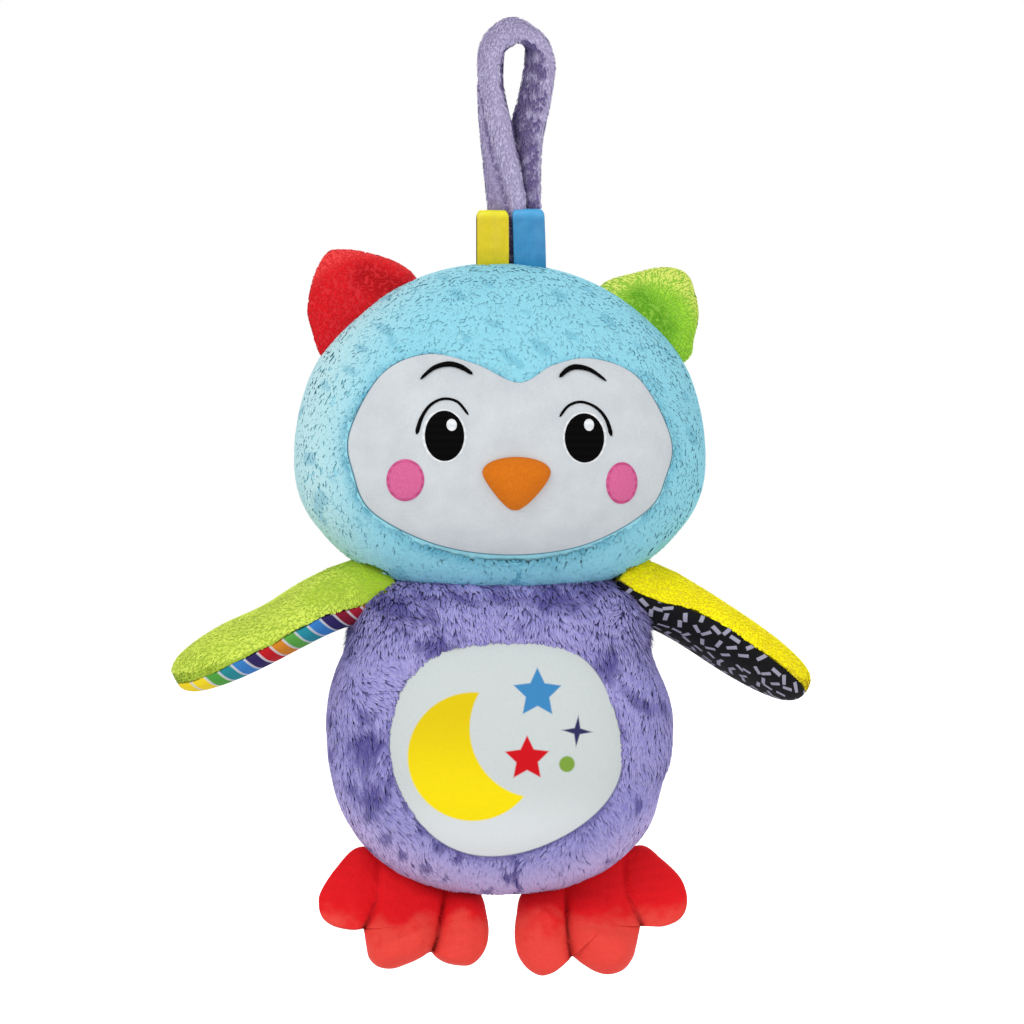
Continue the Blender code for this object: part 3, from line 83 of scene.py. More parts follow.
# Materials: each is a node tree, written as sums, products and steps of wires.
class Wire:
    """A node's output socket. Sums of wires and numbers become math nodes."""

    def __init__(self, tree, socket):
        self.tree, self.socket = tree, socket

    def node(self, kind, inputs, output=0, **settings):
        """Any other node: its settings first, then its inputs by name or place."""
        made = self.tree.nodes.new(kind)
        for key, value in settings.items():
            setattr(made, key, value)
        for key, value in inputs.items():
            if isinstance(value, Wire):
                self.tree.links.new(value.socket, made.inputs[key])
            else:
                made.inputs[key].default_value = value
        return Wire(self.tree, made.outputs[output])

    def math(self, operation, *others):
        """A math node whose first value is this wire."""
        return self.node("ShaderNodeMath", dict(enumerate((self, *others))), operation=operation)

    def __add__(self, other):
        return self.math("ADD", other)

    def __sub__(self, other):
        return self.math("SUBTRACT", other)

    def __rsub__(self, other):
        return self.node("ShaderNodeMath", {0: other, 1: self}, operation="SUBTRACT")

    def __mul__(self, other):
        return self.math("MULTIPLY", other)

    def __truediv__(self, other):
        return self.math("DIVIDE", other)

    __radd__, __rmul__ = __add__, __mul__

    def step(self, low, high):
        """0 below low and 1 above high, smooth between; falling where low is the larger."""
        return self.node(
            "ShaderNodeMapRange", {0: self, 1: low, 2: high}, interpolation_type="SMOOTHSTEP"
        )

    def mix(self, low, high):
        """The colour low where this wire is 0, and high where it is 1."""
        low, high = ((*c, 1.0) if isinstance(c, tuple) and len(c) == 3 else c for c in (low, high))
        return self.node("ShaderNodeMix", {0: self, 6: low, 7: high}, 2, data_type="RGBA")

    def scaled(self, factor):
        return self.node("ShaderNodeVectorMath", {0: self, "Scale": factor}, operation="SCALE")

    def axis(self, number):
        return self.node("ShaderNodeSeparateXYZ", {0: self}, number)

    def noise(self, scale, detail=2.0, rough=0.5):
        return self.node(
            "ShaderNodeTexNoise", {"Vector": self, "Scale": scale, "Detail": detail, "Roughness": rough}
        )

    def attribute(self, name, output="Fac"):
        """A value that the mesh carries at its points."""
        return self.node("ShaderNodeAttribute", {}, output, attribute_name=name)

    def bump(self, strength, distance):
        """A normal from this wire taken as a height."""
        return self.node(
            "ShaderNodeBump", {"Height": self, "Strength": strength, "Distance": distance}
        )


def finish(name, roughness, metallic=0.0, specular_ior_level=0.5, **constants):
    """A Principled material, its shader and a wire of its place in the object's own space."""
    made = bpy.data.materials.new(name)
    made.use_nodes = True
    tree = made.node_tree
    shader = tree.nodes["Principled BSDF"]
    shader.inputs["Roughness"].default_value = roughness
    shader.inputs["Metallic"].default_value = metallic
    shader.inputs["Specular IOR Level"].default_value = specular_ior_level
    for key, value in constants.items():
        shader.inputs[key.replace("_", " ").title().replace("Ior", "IOR")].default_value = value
    places = tree.nodes.new("ShaderNodeTexCoord")
    return made, shader, Wire(tree, places.outputs["Object"])


def cloth(name, roughness=0.85, **constants):
    """A fabric's material: hardly any gloss."""
    return finish(name, roughness, specular_ior_level=0.12, **constants)


def colour_of(shader, wire):
    wire.tree.links.new(wire.socket, shader.inputs["Base Color"])


def normal_of(shader, wire):
    wire.tree.links.new(wire.socket, shader.inputs["Normal"])


# Studio: a white floor well below the feet, white all round, a large soft lamp from the upper
# left, a weaker one from the right and a little light from behind for the pile's edges.
FLOOR_DROP = 0.372
FLOOR_HALF = 6.0
bpy.ops.mesh.primitive_plane_add(size=2 * FLOOR_HALF, location=(0.0, 0.0, -FLOOR_DROP))
floor = bpy.context.object
floor.name = "floor"
floor_finish, shader, place = finish("floor_white", 0.9)
shader.inputs["Base Color"].default_value = (0.86, 0.86, 0.86, 1.0)
seen = place.node("ShaderNodeLightPath", {}, "Is Camera Ray")
glow = place.node("ShaderNodeEmission", {"Color": (1.0, 1.0, 1.0, 1.0), "Strength": seen * 0.55})
both = place.node("ShaderNodeAddShader", {0: Wire(place.tree, shader.outputs[0]), 1: glow})
place.tree.links.new(both.socket, place.tree.nodes["Material Output"].inputs["Surface"])
floor.data.materials.append(floor_finish)
floor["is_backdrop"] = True

world = bpy.data.worlds.new("studio")
world.use_nodes = True
bpy.context.scene.world = world
background = world.node_tree.nodes["Background"]
background.inputs["Color"].default_value = (1.0, 1.0, 1.0, 1.0)
rays = world.node_tree.nodes.new("ShaderNodeLightPath")
from_camera, through_glass = (
    Wire(world.node_tree, rays.outputs[f"Is {kind} Ray"]) for kind in ("Camera", "Transmission")
)
shown = from_camera.math("MAXIMUM", through_glass)
world.node_tree.links.new((shown * 0.22 + 0.78).socket, background.inputs["Strength"])

for name, spot, size, power in (
    ("key", (-0.9, -1.3, 0.75), 0.9, 10.5),
    ("fill", (1.2, -1.2, 0.15), 1.0, 4.0),
    ("back_light", (0.3, 1.3, 0.9), 0.8, 9.0),
):
    glowing = bpy.data.lights.new(name, "AREA")
    glowing.shape, glowing.size, glowing.energy = "DISK", size, power
    standing = bpy.data.objects.new(name, glowing)
    standing.location = spot
    towards = Vector(spot) - CAMERA_TARGET
    standing.rotation_mode = "QUATERNION"
    standing.rotation_quaternion = towards.to_track_quat("Z", "Y")
    bpy.context.collection.objects.link(standing)


# Inner works: the lamp and battery units keep their CAD shapes and get real finishes.
def plain(name, colour, roughness, metallic=0.0, grain=900.0, **constants):
    """A moulded or metal finish whose colour varies a little, with a fine grain."""
    made, shader, place = finish(name, roughness, metallic, **constants)
    tone = place.noise(grain, 3.0)
    light = tuple(min(1.0, c * 1.08 + 0.004) for c in colour)
    colour_of(shader, tone.mix(tuple(c * 0.86 for c in colour), light))
    normal_of(shader, tone.bump(0.12, 0.0002))
    return made


white_plastic = plain("white_plastic", (0.80, 0.80, 0.77), 0.38)
black_plastic = plain("black_plastic", (0.018, 0.018, 0.02), 0.42)
board_green = plain("board_green", (0.02, 0.17, 0.06), 0.35, grain=300.0)
steel = plain("steel", (0.62, 0.61, 0.58), 0.28, 1.0, grain=1500.0)
led_clear = plain("led_clear", (0.90, 0.90, 0.84), 0.08, transmission_weight=0.6)
diffuser = plain("diffuser", (0.90, 0.90, 0.86), 0.45, subsurface_weight=0.4, subsurface_scale=0.004)
lead_red = plain("lead_red", (0.60, 0.015, 0.015), 0.4)
lead_black = plain("lead_black", (0.015, 0.015, 0.016), 0.4)

MIDDLE_X = -0.0045  # the owl's own middle, a little beside its loop
cell_wrap, shader, place = finish("cell_wrap", 0.3)
along_cell = (place.axis(0) - MIDDLE_X).math("ABSOLUTE")
ends = along_cell.step(0.0206, 0.0209)
band = along_cell.step(0.0125, 0.0128)
colour_of(shader, ends.mix(band.mix((0.03, 0.09, 0.28), (0.60, 0.36, 0.04)), (0.62, 0.62, 0.60)))
cell_wrap.node_tree.links.new(ends.socket, shader.inputs["Metallic"])

tape_violet, shader, place = finish("tape_violet", 0.85)
fuzz = place.noise(2600.0, 3.0)
colour_of(shader, fuzz.mix((0.08, 0.07, 0.22), (0.26, 0.23, 0.46)))
normal_of(shader, fuzz.bump(0.7, 0.0008))

INNER_FINISHES = (
    (white_plastic, ("lamp_base", "lamp_bezel", "battery_box", "battery_cover")),
    (black_plastic, ("press_switch", "switch_plunger", "slide_switch", "switch_knob")),
    (steel, ("lamp_screw", "contact", "cover_screw")),
    (tape_violet, ("hook_tape", "loop_tape")),
    (diffuser, ("lamp_lens",)),
    (board_green, ("lamp_board",)),
    (led_clear, ("led",)),
    (lead_red, ("lead_red",)),
    (lead_black, ("lead_black",)),
    (cell_wrap, ("battery_cell",)),
)
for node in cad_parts:
    for used, starts in INNER_FINISHES:
        if node.startswith(starts):
            mesh = bpy.data.objects[node].data
            mesh.materials.clear()
            mesh.materials.append(used)


# Body: the violet sack of fibre. A stuffed form is a rounded box: (|x/w|^n + |y/d|^n)^(p/n)
# + |z/h|^p = 1, with its own height and power above and below the widest level. The head is
# such a form too.
class Form:
    def __init__(self, z, width, depth, rise, fall, powers):
        self.z, self.half, self.heights = z, np.array([width, depth]) / 2, (rise, fall)
        self.lift_powers, self.plan_power = powers[:2], powers[2]

    def above(self, z):
        """The height and power that hold at each z, and the share of that height."""
        up = np.asarray(z) >= self.z
        height = np.where(up, *self.heights)
        return height, np.where(up, *self.lift_powers), (z - self.z) / height

    def front(self, x, z):
        """The y of the front of the skin at each (x, z)."""
        _, power, share = self.above(z)
        girth = np.clip(1 - np.abs(share) ** power, 0, 1) ** (1 / power)
        n = self.plan_power
        left = np.clip(girth ** n - np.abs((x - MIDDLE_X) / self.half[0]) ** n, 0, 1)
        return -self.half[1] * left ** (1 / n)

    def level(self, points):
        """How far out each point is: 1 on the skin, less inside."""
        _, power, share = self.above(points[:, 2])
        flat = np.abs((points[:, :2] - (MIDDLE_X, 0.0)) / self.half) ** self.plan_power
        total = flat.sum(axis=1) ** (power / self.plan_power) + np.abs(share) ** power
        return total ** (1 / power)

    def outward(self, points):
        """The skin's unit normal at each point."""
        height, power, share = self.above(points[:, 2])
        n = self.plan_power
        place = (points[:, :2] - (MIDDLE_X, 0.0)) / self.half
        girth = np.maximum((np.abs(place) ** n).sum(axis=1), 1e-9) ** (power / n - 1)
        flat = girth[:, None] * np.abs(place) ** (n - 1) * np.sign(place) / self.half
        lift = np.abs(share) ** (power - 1) * np.sign(share) / height
        normal = np.column_stack([flat, lift])
        return normal / np.linalg.norm(normal, axis=1)[:, None]

    def scatter(self, count, draw):
        """Points spread evenly over the skin, by throwing out those where the grid is crowded."""
        kept = np.empty((0, 3))
        while len(kept) < count:
            turn = draw.uniform(0, math.tau, count)
            lift = draw.uniform(-math.pi / 2, math.pi / 2, count)
            step = 1e-4
            here = self.skin(turn, lift)
            across = (self.skin(turn + step, lift) - here) / step
            up = (self.skin(turn, lift + step) - here) / step
            area = np.linalg.norm(np.cross(across, up), axis=1)
            area[~np.isfinite(area)] = 0
            limit = np.percentile(area, 99.5)
            kept = np.vstack([kept, here[draw.uniform(0, limit, count) < area]])
        return kept[:count]

    def skin(self, turn, lift):
        """The point at a turn about z and a lift above the widest level, both as angles."""
        def powered(wave, power):
            return np.sign(wave) * np.abs(wave) ** (2 / power)
        height, power, _ = self.above(self.z + np.sin(lift))
        girth = np.abs(np.cos(lift)) ** (2 / power)
        x = MIDDLE_X + self.half[0] * girth * powered(np.cos(turn), self.plan_power)
        y = self.half[1] * girth * powered(np.sin(turn), self.plan_power)
        return np.column_stack([x, y, self.z + height * powered(np.sin(lift), power)])


def solid(name, points, blocks, material, body, slot, tidy=True):
    """A smooth piece from points and blocks of faces with equal counts of corners."""
    mesh = bpy.data.meshes.new(name)
    corners = np.concatenate([np.asarray(block).ravel() for block in blocks])
    counts = np.concatenate([np.full(len(b), np.asarray(b).shape[1]) for b in blocks])
    starts = np.concatenate([[0], np.cumsum(counts)[:-1]])
    mesh.vertices.add(len(points))
    mesh.vertices.foreach_set("co", np.asarray(points, np.float32).ravel())
    mesh.loops.add(len(corners))
    mesh.loops.foreach_set("vertex_index", corners.astype(np.int32))
    mesh.polygons.add(len(counts))
    mesh.polygons.foreach_set("loop_start", starts.astype(np.int32))
    mesh.update(calc_edges=True)
    if tidy:
        shape = bmesh.new()
        shape.from_mesh(mesh)
        bmesh.ops.recalc_face_normals(shape, faces=shape.faces)
        shape.to_mesh(mesh)
        shape.free()
    mesh.shade_smooth()
    made = bpy.data.objects.new(name, mesh)
    bpy.context.collection.objects.link(made)
    mesh.materials.append(material)
    if body:
        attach(made, body)
    return made


def carry(mesh, name, values, kind="FLOAT", key="value"):
    """Lets a mesh carry values at its points, for its material to read."""
    layer = mesh.attributes.new(name, kind, "POINT")
    layer.data.foreach_set(key, np.asarray(values, np.float32).ravel())


def reshape(mesh, change):
    """Puts a mesh's points where change(points) says."""
    points = np.empty(len(mesh.vertices) * 3)
    mesh.vertices.foreach_get("co", points)
    mesh.vertices.foreach_set("co", change(points.reshape(-1, 3)).ravel())


def skin_copy(name, node, form, inset, material, body):
    """A node's own solid, drawn in under the pile wherever it lies on the form's skin."""
    source = bpy.data.objects[node]
    mesh = source.data.copy()
    made = bpy.data.objects.new(name, mesh)
    bpy.context.collection.objects.link(made)
    mesh.transform(source.matrix_world)

    def drawn_in(points):
        near = form.level(points) > 0.97
        points[near] -= inset * form.outward(points[near])
        return points

    reshape(mesh, drawn_in)
    mesh.materials.clear()
    mesh.materials.append(material)
    mesh.update()
    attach(made, body)
    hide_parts(node)
    return made


# Pile is made of separate tufts, combed along the skin, with its tips drawn together in clumps.
def waves(points, size, seed, count=7):
    """Smooth noise from -1 to 1: a sum of sine waves about this size apart, in random directions."""
    draw = np.random.default_rng(seed)
    ways = draw.normal(size=(count, 3))
    ways *= (draw.uniform(0.7, 1.5, count) * math.tau / size / np.linalg.norm(ways, axis=1))[:, None]
    total = np.sin(points @ ways.T + draw.uniform(0, math.tau, count)).sum(axis=1)
    return np.clip(total / math.sqrt(count), -1.6, 1.6) / 1.6


def unit(vectors):
    return vectors / np.maximum(np.linalg.norm(vectors, axis=1), 1e-12)[:, None]


def dot(a, b):
    return (a * b).sum(axis=1)[:, None]


def along_skin(way, outward):
    return unit(way - outward * dot(way, outward))


def combed(outward, way, twist):
    """The pile's lie: a direction laid along the skin and turned about its normal."""
    flat = along_skin(way, outward)
    across = np.cross(outward, flat)
    return flat * np.cos(twist)[:, None] + across * np.sin(twist)[:, None]


PILE_BLOCK = 18500  # tufts in one piece, which keeps it under 200,000 triangles
TUFT_THICKNESS = 0.16  # of its width


def pile(name, roots, outward, lie, length, width, crease, clump, rise, draw, material, body, slot):
    """Closed three-sided tufts that taper from root to tip and lean the way the pile lies.

    The tips within one clump draw together. Point colours tell the material how far along its
    tuft a point is, the tuft's own random number and how much painted shade it takes in creases.
    """
    count = len(roots)
    up = outward * rise
    # a tuft rises fast to its middle and lies down from there to its tip
    tips = roots + length[:, None] * (up + lie * 0.88)
    middles = roots + length[:, None] * (up * 0.80 + lie * 0.36)
    centres = draw.choice(count, max(1, count // clump), replace=False)
    tree = kdtree.KDTree(len(centres))
    for k in centres:
        tree.insert(roots[k], int(k))
    tree.balance()
    nearest = np.array([tree.find(root)[1] for root in roots])
    own = draw.uniform(0.10, 0.50, count)[:, None]
    tips += own * (tips[nearest] - tips)
    middles += 0.45 * own * (middles[nearest] - middles)
    along = unit(tips - roots)
    side = unit(np.cross(outward, along))
    top = np.cross(along, side)
    ring = [side * 0.5, top * TUFT_THICKNESS, side * -0.5]
    wide = width[:, None]
    corners = [roots + wide * 0.8 * r - outward * wide * 0.4 for r in ring]
    corners += [middles + wide * r for r in ring] + [tips]
    bulge = [unit(outward + side * s) for s in (0.5, 0.0, -0.5)] * 2 + [unit(outward + along * 0.3)]
    lead = 0.85 + 0.3 * draw.uniform(0, 1, count)
    own_tone = draw.uniform(0, 1, count)
    for first in range(0, count, PILE_BLOCK):
        block = slice(first, min(first + PILE_BLOCK, count))
        size = block.stop - block.start
        points = np.stack([c[block] for c in corners], axis=1).reshape(-1, 3)
        start = np.arange(size)[:, None] * 7
        quads = np.concatenate([start + q for q in ([0, 1, 4, 3], [1, 2, 5, 4], [2, 0, 3, 5])])
        tris = np.concatenate([start + t for t in ([3, 4, 6], [4, 5, 6], [5, 3, 6], [0, 2, 1])])
        piece = f"{name}_{first // PILE_BLOCK + 1}"
        mesh = solid(piece, points, [quads, tris], material, body, slot, tidy=False).data
        tones = np.ones((size, 7, 4), np.float32)
        tones[:, :3, 0], tones[:, 3:6, 0], tones[:, 6, 0] = 0.0, 0.5, 1.0
        tones[:, :, 0] *= lead[block, None]
        tones[:, :, 1] = own_tone[block, None]
        # the third channel: how much painted shade the tuft takes
        tones[:, :, 2] = crease[block, None]
        # normals near the skin's own, except on faces that look away from it
        flat, at = np.zeros((len(mesh.polygons), 3)), np.zeros(len(mesh.loops), int)
        mesh.polygon_normals.foreach_get("vector", flat.ravel())
        mesh.loops.foreach_get("vertex_index", at)
        flat = np.repeat(flat, [4] * (3 * size) + [3] * (4 * size), axis=0)
        full = np.stack([b[block] for b in bulge], axis=1).reshape(-1, 3)[at]
        facing = np.clip(0.5 + 2.0 * dot(flat, full), 0, 1)
        mesh.normals_split_custom_set(unit(0.15 * flat + facing * full))
        tuft = mesh.color_attributes.new("tuft", "FLOAT_COLOR", "POINT")
        tuft.data.foreach_set("color", tones.ravel())
        # each tuft has a cell of its own in the texture, twice as high as it is wide
        columns = math.ceil(math.sqrt(2 * size))
        rows = math.ceil(size / columns)
        corner = np.column_stack([np.arange(size) % columns, np.arange(size) // columns])
        strip = np.array([(0.12, 0.14), (0.88, 0.14), (0.88, 0.55), (0.12, 0.55)])
        blade = np.array([(0.12, 0.55), (0.88, 0.55), (0.5, 0.97)])
        foot = np.array([(0.3, 0.02), (0.7, 0.02), (0.5, 0.09)])
        cells = [corner[:, None] + shape for shape in (strip,) * 3 + (blade,) * 3 + (foot,)]
        places = np.concatenate([cell.reshape(-1, 2) for cell in cells]) / (columns, rows)
        layer = mesh.uv_layers.new(name="OFBake")
        layer.data.foreach_set("uv", places.astype(np.float32).ravel())


def plush(name, root, dark, light, painted_sheen, patch=160.0, edge=None):
    """Pile: painted shade toward each tuft's root and a painted sheen toward its tip, mottled in patches,
    and painted shade in its creases and partings.

    Edge is a place in mm and the distances from it between which the pile takes on a tint.
    """
    made, shader, place = cloth(name)
    tuft = place.attribute("tuft", "Color")
    along, own, crease = (tuft.axis(k) for k in range(3))
    mottle = (place.noise(patch, 3.0, 0.6) * 0.9 + own * 0.5 - 0.22).step(0.15, 0.85)
    body_tone = mottle.mix(dark, light)
    # painted sheen: each tuft pales toward its tip
    tipped = along.step(0.55, 1.1).mix(body_tone, painted_sheen)
    if edge:
        (x_mm, z_mm), near, far, tint = edge
        u, v = (place.axis(0) - MIDDLE_X) * 1000 - x_mm, place.axis(2) * 1000 - z_mm
        tipped = (u * u + v * v).step(near**2, far**2).mix(tipped, tint)
    # painted shade: each tuft darkens toward its root
    shaded = along.step(0.0, 0.55).mix(tuple(0.85 * c for c in dark), tipped)
    # painted shade: in creases, partings, seams and along patch edges the pile mixes toward the dark root
    # colour
    colour_of(shader, (crease * (1.15 - along * 0.45)).mix(shaded, root))
    return made


def fur(name, under, root, dark, light, painted_sheen, **more):
    """The finishes of a plush cloth: its backing and its pile."""
    backing = plain(f"plush_{name}_under", under, 0.9, grain=700.0)
    return backing, plush(f"plush_{name}", root, dark, light, painted_sheen, **more)


def short_pile(name, spots, normal, lie, length, crease, rise, draw, finish, body, slot):
    """Pile as it is on the wings, the ears and the loop: short, in clumps of six."""
    lengths = length * draw.uniform(0.7, 1.25, len(spots))
    widths = 0.0006 * draw.uniform(0.7, 1.2, len(spots))
    pile(name, spots, normal, lie, lengths, widths, crease, 6, rise, draw, finish, body, slot)


# Forms and outlines of the body, the window in its front and the flap in its back.
body_form = Form(-0.2240, 0.1160, 0.0800, 0.0533, 0.0577, (2.0, 2.4, 2.2))
head_form = Form(-0.1367, 0.1374, 0.0920, 0.0654, 0.0430, (2.05, 2.25, 2.2))
violet_under, violet_pile = fur(
    "violet", (0.24, 0.22, 0.50), (0.07, 0.055, 0.24), (0.24, 0.225, 0.54), (0.36, 0.325, 0.65),
    (0.44, 0.40, 0.71), patch=70.0, edge=((0, -200), 67, 78, (0.50, 0.43, 0.74)),
)
BODY_PILE_HEIGHT = 0.0009
body_skin = skin_copy(
    "body_skin", "body_plush", body_form, BODY_PILE_HEIGHT, violet_under, "owl"
)


def spline(points, count, closed=True):
    """A smooth curve through the points, evenly cut by share of each span."""
    points = np.asarray(points, float)
    size = len(points)
    t = np.linspace(0, size if closed else size - 1, count, endpoint=not closed)
    k = np.minimum(t.astype(int), size - 1 if closed else size - 2)
    f = (t - k)[:, None]
    if closed:
        a, b, c, d = (points[(k + s) % size] for s in (-1, 0, 1, 2))
    else:
        a, b, c, d = (points[np.clip(k + s, 0, size - 1)] for s in (-1, 0, 1, 2))
    slope_b, slope_c = (c - a) / 2, (d - b) / 2
    return (
        (2 * f**3 - 3 * f**2 + 1) * b + (f**3 - 2 * f**2 + f) * slope_b
        + (3 * f**2 - 2 * f**3) * c + (f**3 - f**2) * slope_c
    )


def beyond(points, outline):
    """How far each (x, z) lies outside a star-shaped outline, along the ray from its middle."""
    middle = outline.mean(axis=0)
    way = outline - middle
    turns = np.arctan2(way[:, 1], way[:, 0])
    order = np.argsort(turns)
    reach = np.linalg.norm(way, axis=1)[order]
    away = points - middle
    limit = np.interp(np.arctan2(away[:, 1], away[:, 0]), turns[order], reach, period=math.tau)
    return np.linalg.norm(away, axis=1) - limit


def rounder(outline, waves_kept):
    """An outline with only its slowest waves left, so that it has no corners."""
    parts = np.fft.fft(outline[:, 0] + 1j * outline[:, 1])
    parts[waves_kept + 1:-waves_kept] = 0
    smooth = np.fft.ifft(parts)
    return np.column_stack([smooth.real, smooth.imag])


def from_middle(places_mm):
    """Places given in mm from the owl's middle line, as metres."""
    return np.asarray(places_mm, float) / 1000 + (MIDDLE_X, 0.0)


belly_outline = 1.025 * rounder(spline(from_middle([
    (0.7, -197.1), (24.8, -203.7), (36.1, -228.3), (28.3, -253.2), (-5.4, -266.6), (-29.4, -255.1),
    (-38.6, -231.6), (-29.2, -204.2),
]), 120), 4) - (0.025 * MIDDLE_X, -0.025 * 0.2315)
flap_outline = spline([
    (MIDDLE_X + 0.032 * a, -0.2305 + 0.033 * b)
    for a, b in ((0.0, 1.0), (0.72, 0.98), (0.97, 0.70), (1.0, 0.0), (0.97, -0.70), (0.72, -0.98),
                 (0.0, -1.0), (-0.72, -0.98), (-0.97, -0.70), (-1.0, 0.0), (-0.97, 0.70), (-0.72, 0.98))
], 120)


# The body's pile is long and silky. It runs down to the right on the upper left, down to the
# left on the right, and down and outwards below the window, with painted shade where it
# seems to part, under the chin, along the window and beside the bottom seam.
SHOULDER_OUT, SHOULDER_Z, SHOULDER_ROOM = 0.046, -0.178, 0.0085


def bell(away, width):
    """1 at nothing and falling to nothing over about two widths."""
    return np.exp(-((away / width) ** 2))


def at_shoulders(x, z):
    """Where the wings come out of the seam, so that no pile grows."""
    return np.hypot(np.abs(x) - SHOULDER_OUT, z - SHOULDER_Z) < SHOULDER_ROOM


def shoulders(points):
    """The sack's swell where it is gathered under the head, outwards from the owl's middle."""
    high = np.clip((points[:, 2] + 0.2000) / 0.0220, 0, 1)
    swell = 0.0115 * high**2 * (3 - 2 * high)
    for height, width, dent in ((-0.2035, 0.010, 0.0022), (-0.2437, 0.008, 0.0015)):
        swell -= dent * bell(points[:, 2] - height, width) * (points[:, 0] > MIDDLE_X)
    flat = (points - (MIDDLE_X, 0.0, 0.0)) * (1.0, 1.0, 0.0)
    return points + unit(flat) * swell[:, None] * (1.0, 0.15, 0.0)


def leaning_in(lie, outward, flat, outline, gap, reach, most):
    """The lie near a patch: the tufts next to its edge lean in over it."""
    middle = outline.mean(axis=0)
    towards = np.column_stack([middle[0] - flat[:, 0], 0 * gap, middle[1] - flat[:, 1]])
    share = np.clip(1 - gap / reach, 0, 1)[:, None] * most
    return unit(lie * (1 - share) + along_skin(towards, outward) * share)


BODY_TUFTS, BODY_TUFT_LENGTH, BODY_TUFT_WIDTH = 66000, 0.0050, 0.00100
BOTTOM_SEAM_X = 0.0030
PARTING_SHADES = (
    # x from the owl's middle, z and size of each patch of painted shade where the pile seems to part
    (-0.047, -0.229, 0.006), (-0.045, -0.245, 0.005), (-0.023, -0.197, 0.005), (0.034, -0.203, 0.005),
    (0.053, -0.266, 0.005), (0.0, -0.273, 0.002), (-0.030, -0.184, 0.006), (0.010, -0.181, 0.004),
)
draw = np.random.default_rng(11)
roots = body_form.scatter(BODY_TUFTS, draw)
outward = body_form.outward(roots)
flat = roots[:, [0, 2]]
front, behind = roots[:, 1] < 0, roots[:, 1] > 0.004
gap = np.where(front, beyond(flat, belly_outline), 1.0)
x, z = roots[:, 0] - MIDDLE_X, roots[:, 2]
roots = roots - outward * (0.95 * BODY_PILE_HEIGHT)
way = np.column_stack([
    -0.75 * x / body_form.half[0] * np.clip((z + 0.255) / 0.05, -1, 1) + 0.12, 0 * x, -np.ones(len(x))
])
twist = 0.65 * waves(roots, 0.024, 21) + 0.35 * waves(roots, 0.009, 22)
lie = leaning_in(combed(outward, way, twist), outward, flat, belly_outline, gap, 0.0028, 0.3)
length = BODY_TUFT_LENGTH * draw.uniform(0.75, 1.2, len(x)) * (1 + 0.2 * waves(roots, 0.012, 23))
length *= np.clip(0.36 + gap / 0.007, 0.36, 1)
# painted shade in random creases of the pile
crease = np.clip(waves(roots * (1.6, 1.0, 1.0), 0.014, 24) * 2.4 - 1.2, 0, 0.8)
for parting_x, parting_z, size in PARTING_SHADES:
    away = np.hypot(x - parting_x, z - parting_z) * (1 + 0.5 * waves(roots, 0.004, 25))
    crease = np.maximum(crease, np.where(front, np.clip(1.5 - away / size, 0, 1), 0))
# painted shadow under the chin
chin_shadow = np.clip((z + 0.1850) / 0.004, 0, 1) * (0.5 + 0.6 * waves(roots, 0.008, 26))
crease = np.maximum(crease, np.clip(np.where(front, chin_shadow, 0), 0, 1))
# painted shade along the window's edge
crease = np.maximum(crease, np.clip(0.7 - gap / 0.0022, 0, 0.6))
# the bottom seam: no tufts on it, and painted shade beside it
seam = np.where(front & (z < -0.2675), np.abs(x - BOTTOM_SEAM_X), 1.0)
crease = np.maximum(crease, np.clip(1.6 - seam / 0.0010, 0, 1))
hidden = (seam < 0.0004) | (front & (gap < 0.0002)) | at_shoulders(x, z)
hidden |= head_form.level(shoulders(roots)) < 0.95
flap_gap = np.where(behind, beyond(flat, flap_outline), 1.0)
on_flap = flap_gap < -0.0010
split = (flap_gap < 0.0006) & ~on_flap
roots = shoulders(roots)
for name, body, chosen in (
    ("body_pile", "owl", ~hidden & ~on_flap & ~split),
    ("flap_pile", "flap", on_flap),
):
    pile(
        name, roots[chosen], outward[chosen], lie[chosen], length[chosen],
        BODY_TUFT_WIDTH * draw.uniform(0.7, 1.25, chosen.sum()), crease[chosen], 9, 0.115, draw,
        violet_pile, body, "plush_violet",
    )
reshape(body_skin.data, shoulders)
skin_copy(
    "flap_skin", "back_flap", body_form, BODY_PILE_HEIGHT, violet_under, "flap"
)


# Belly window: white cloth with a printed moon, two stars, a spark and a dot. The print is
# shader maths on the cloth's own x and z, so it stays sharp at any size.
def closed_rings(name, rows, material, body, slot):
    """A closed piece from a stack of equal rings, with a fan over each end."""
    rows = np.asarray(rows, float)
    count, around = rows.shape[:2]
    points = np.vstack([rows.reshape(-1, 3), rows[0].mean(axis=0), rows[-1].mean(axis=0)])
    step = np.arange(around)
    after = (step + 1) % around
    quads = np.concatenate([
        np.column_stack([low + step, low + after, low + around + after, low + around + step])
        for low in range(0, (count - 1) * around, around)
    ])
    last = (count - 1) * around
    caps = np.concatenate([
        np.column_stack([after, step, np.full(around, count * around)]),
        np.column_stack([last + step, last + after, np.full(around, count * around + 1)]),
    ])
    return solid(name, points, [quads, caps], material, body, slot)


def stood(flat, y):
    """Points from their (x, z) places and their y."""
    return np.column_stack([flat[:, 0], y, flat[:, 1]])


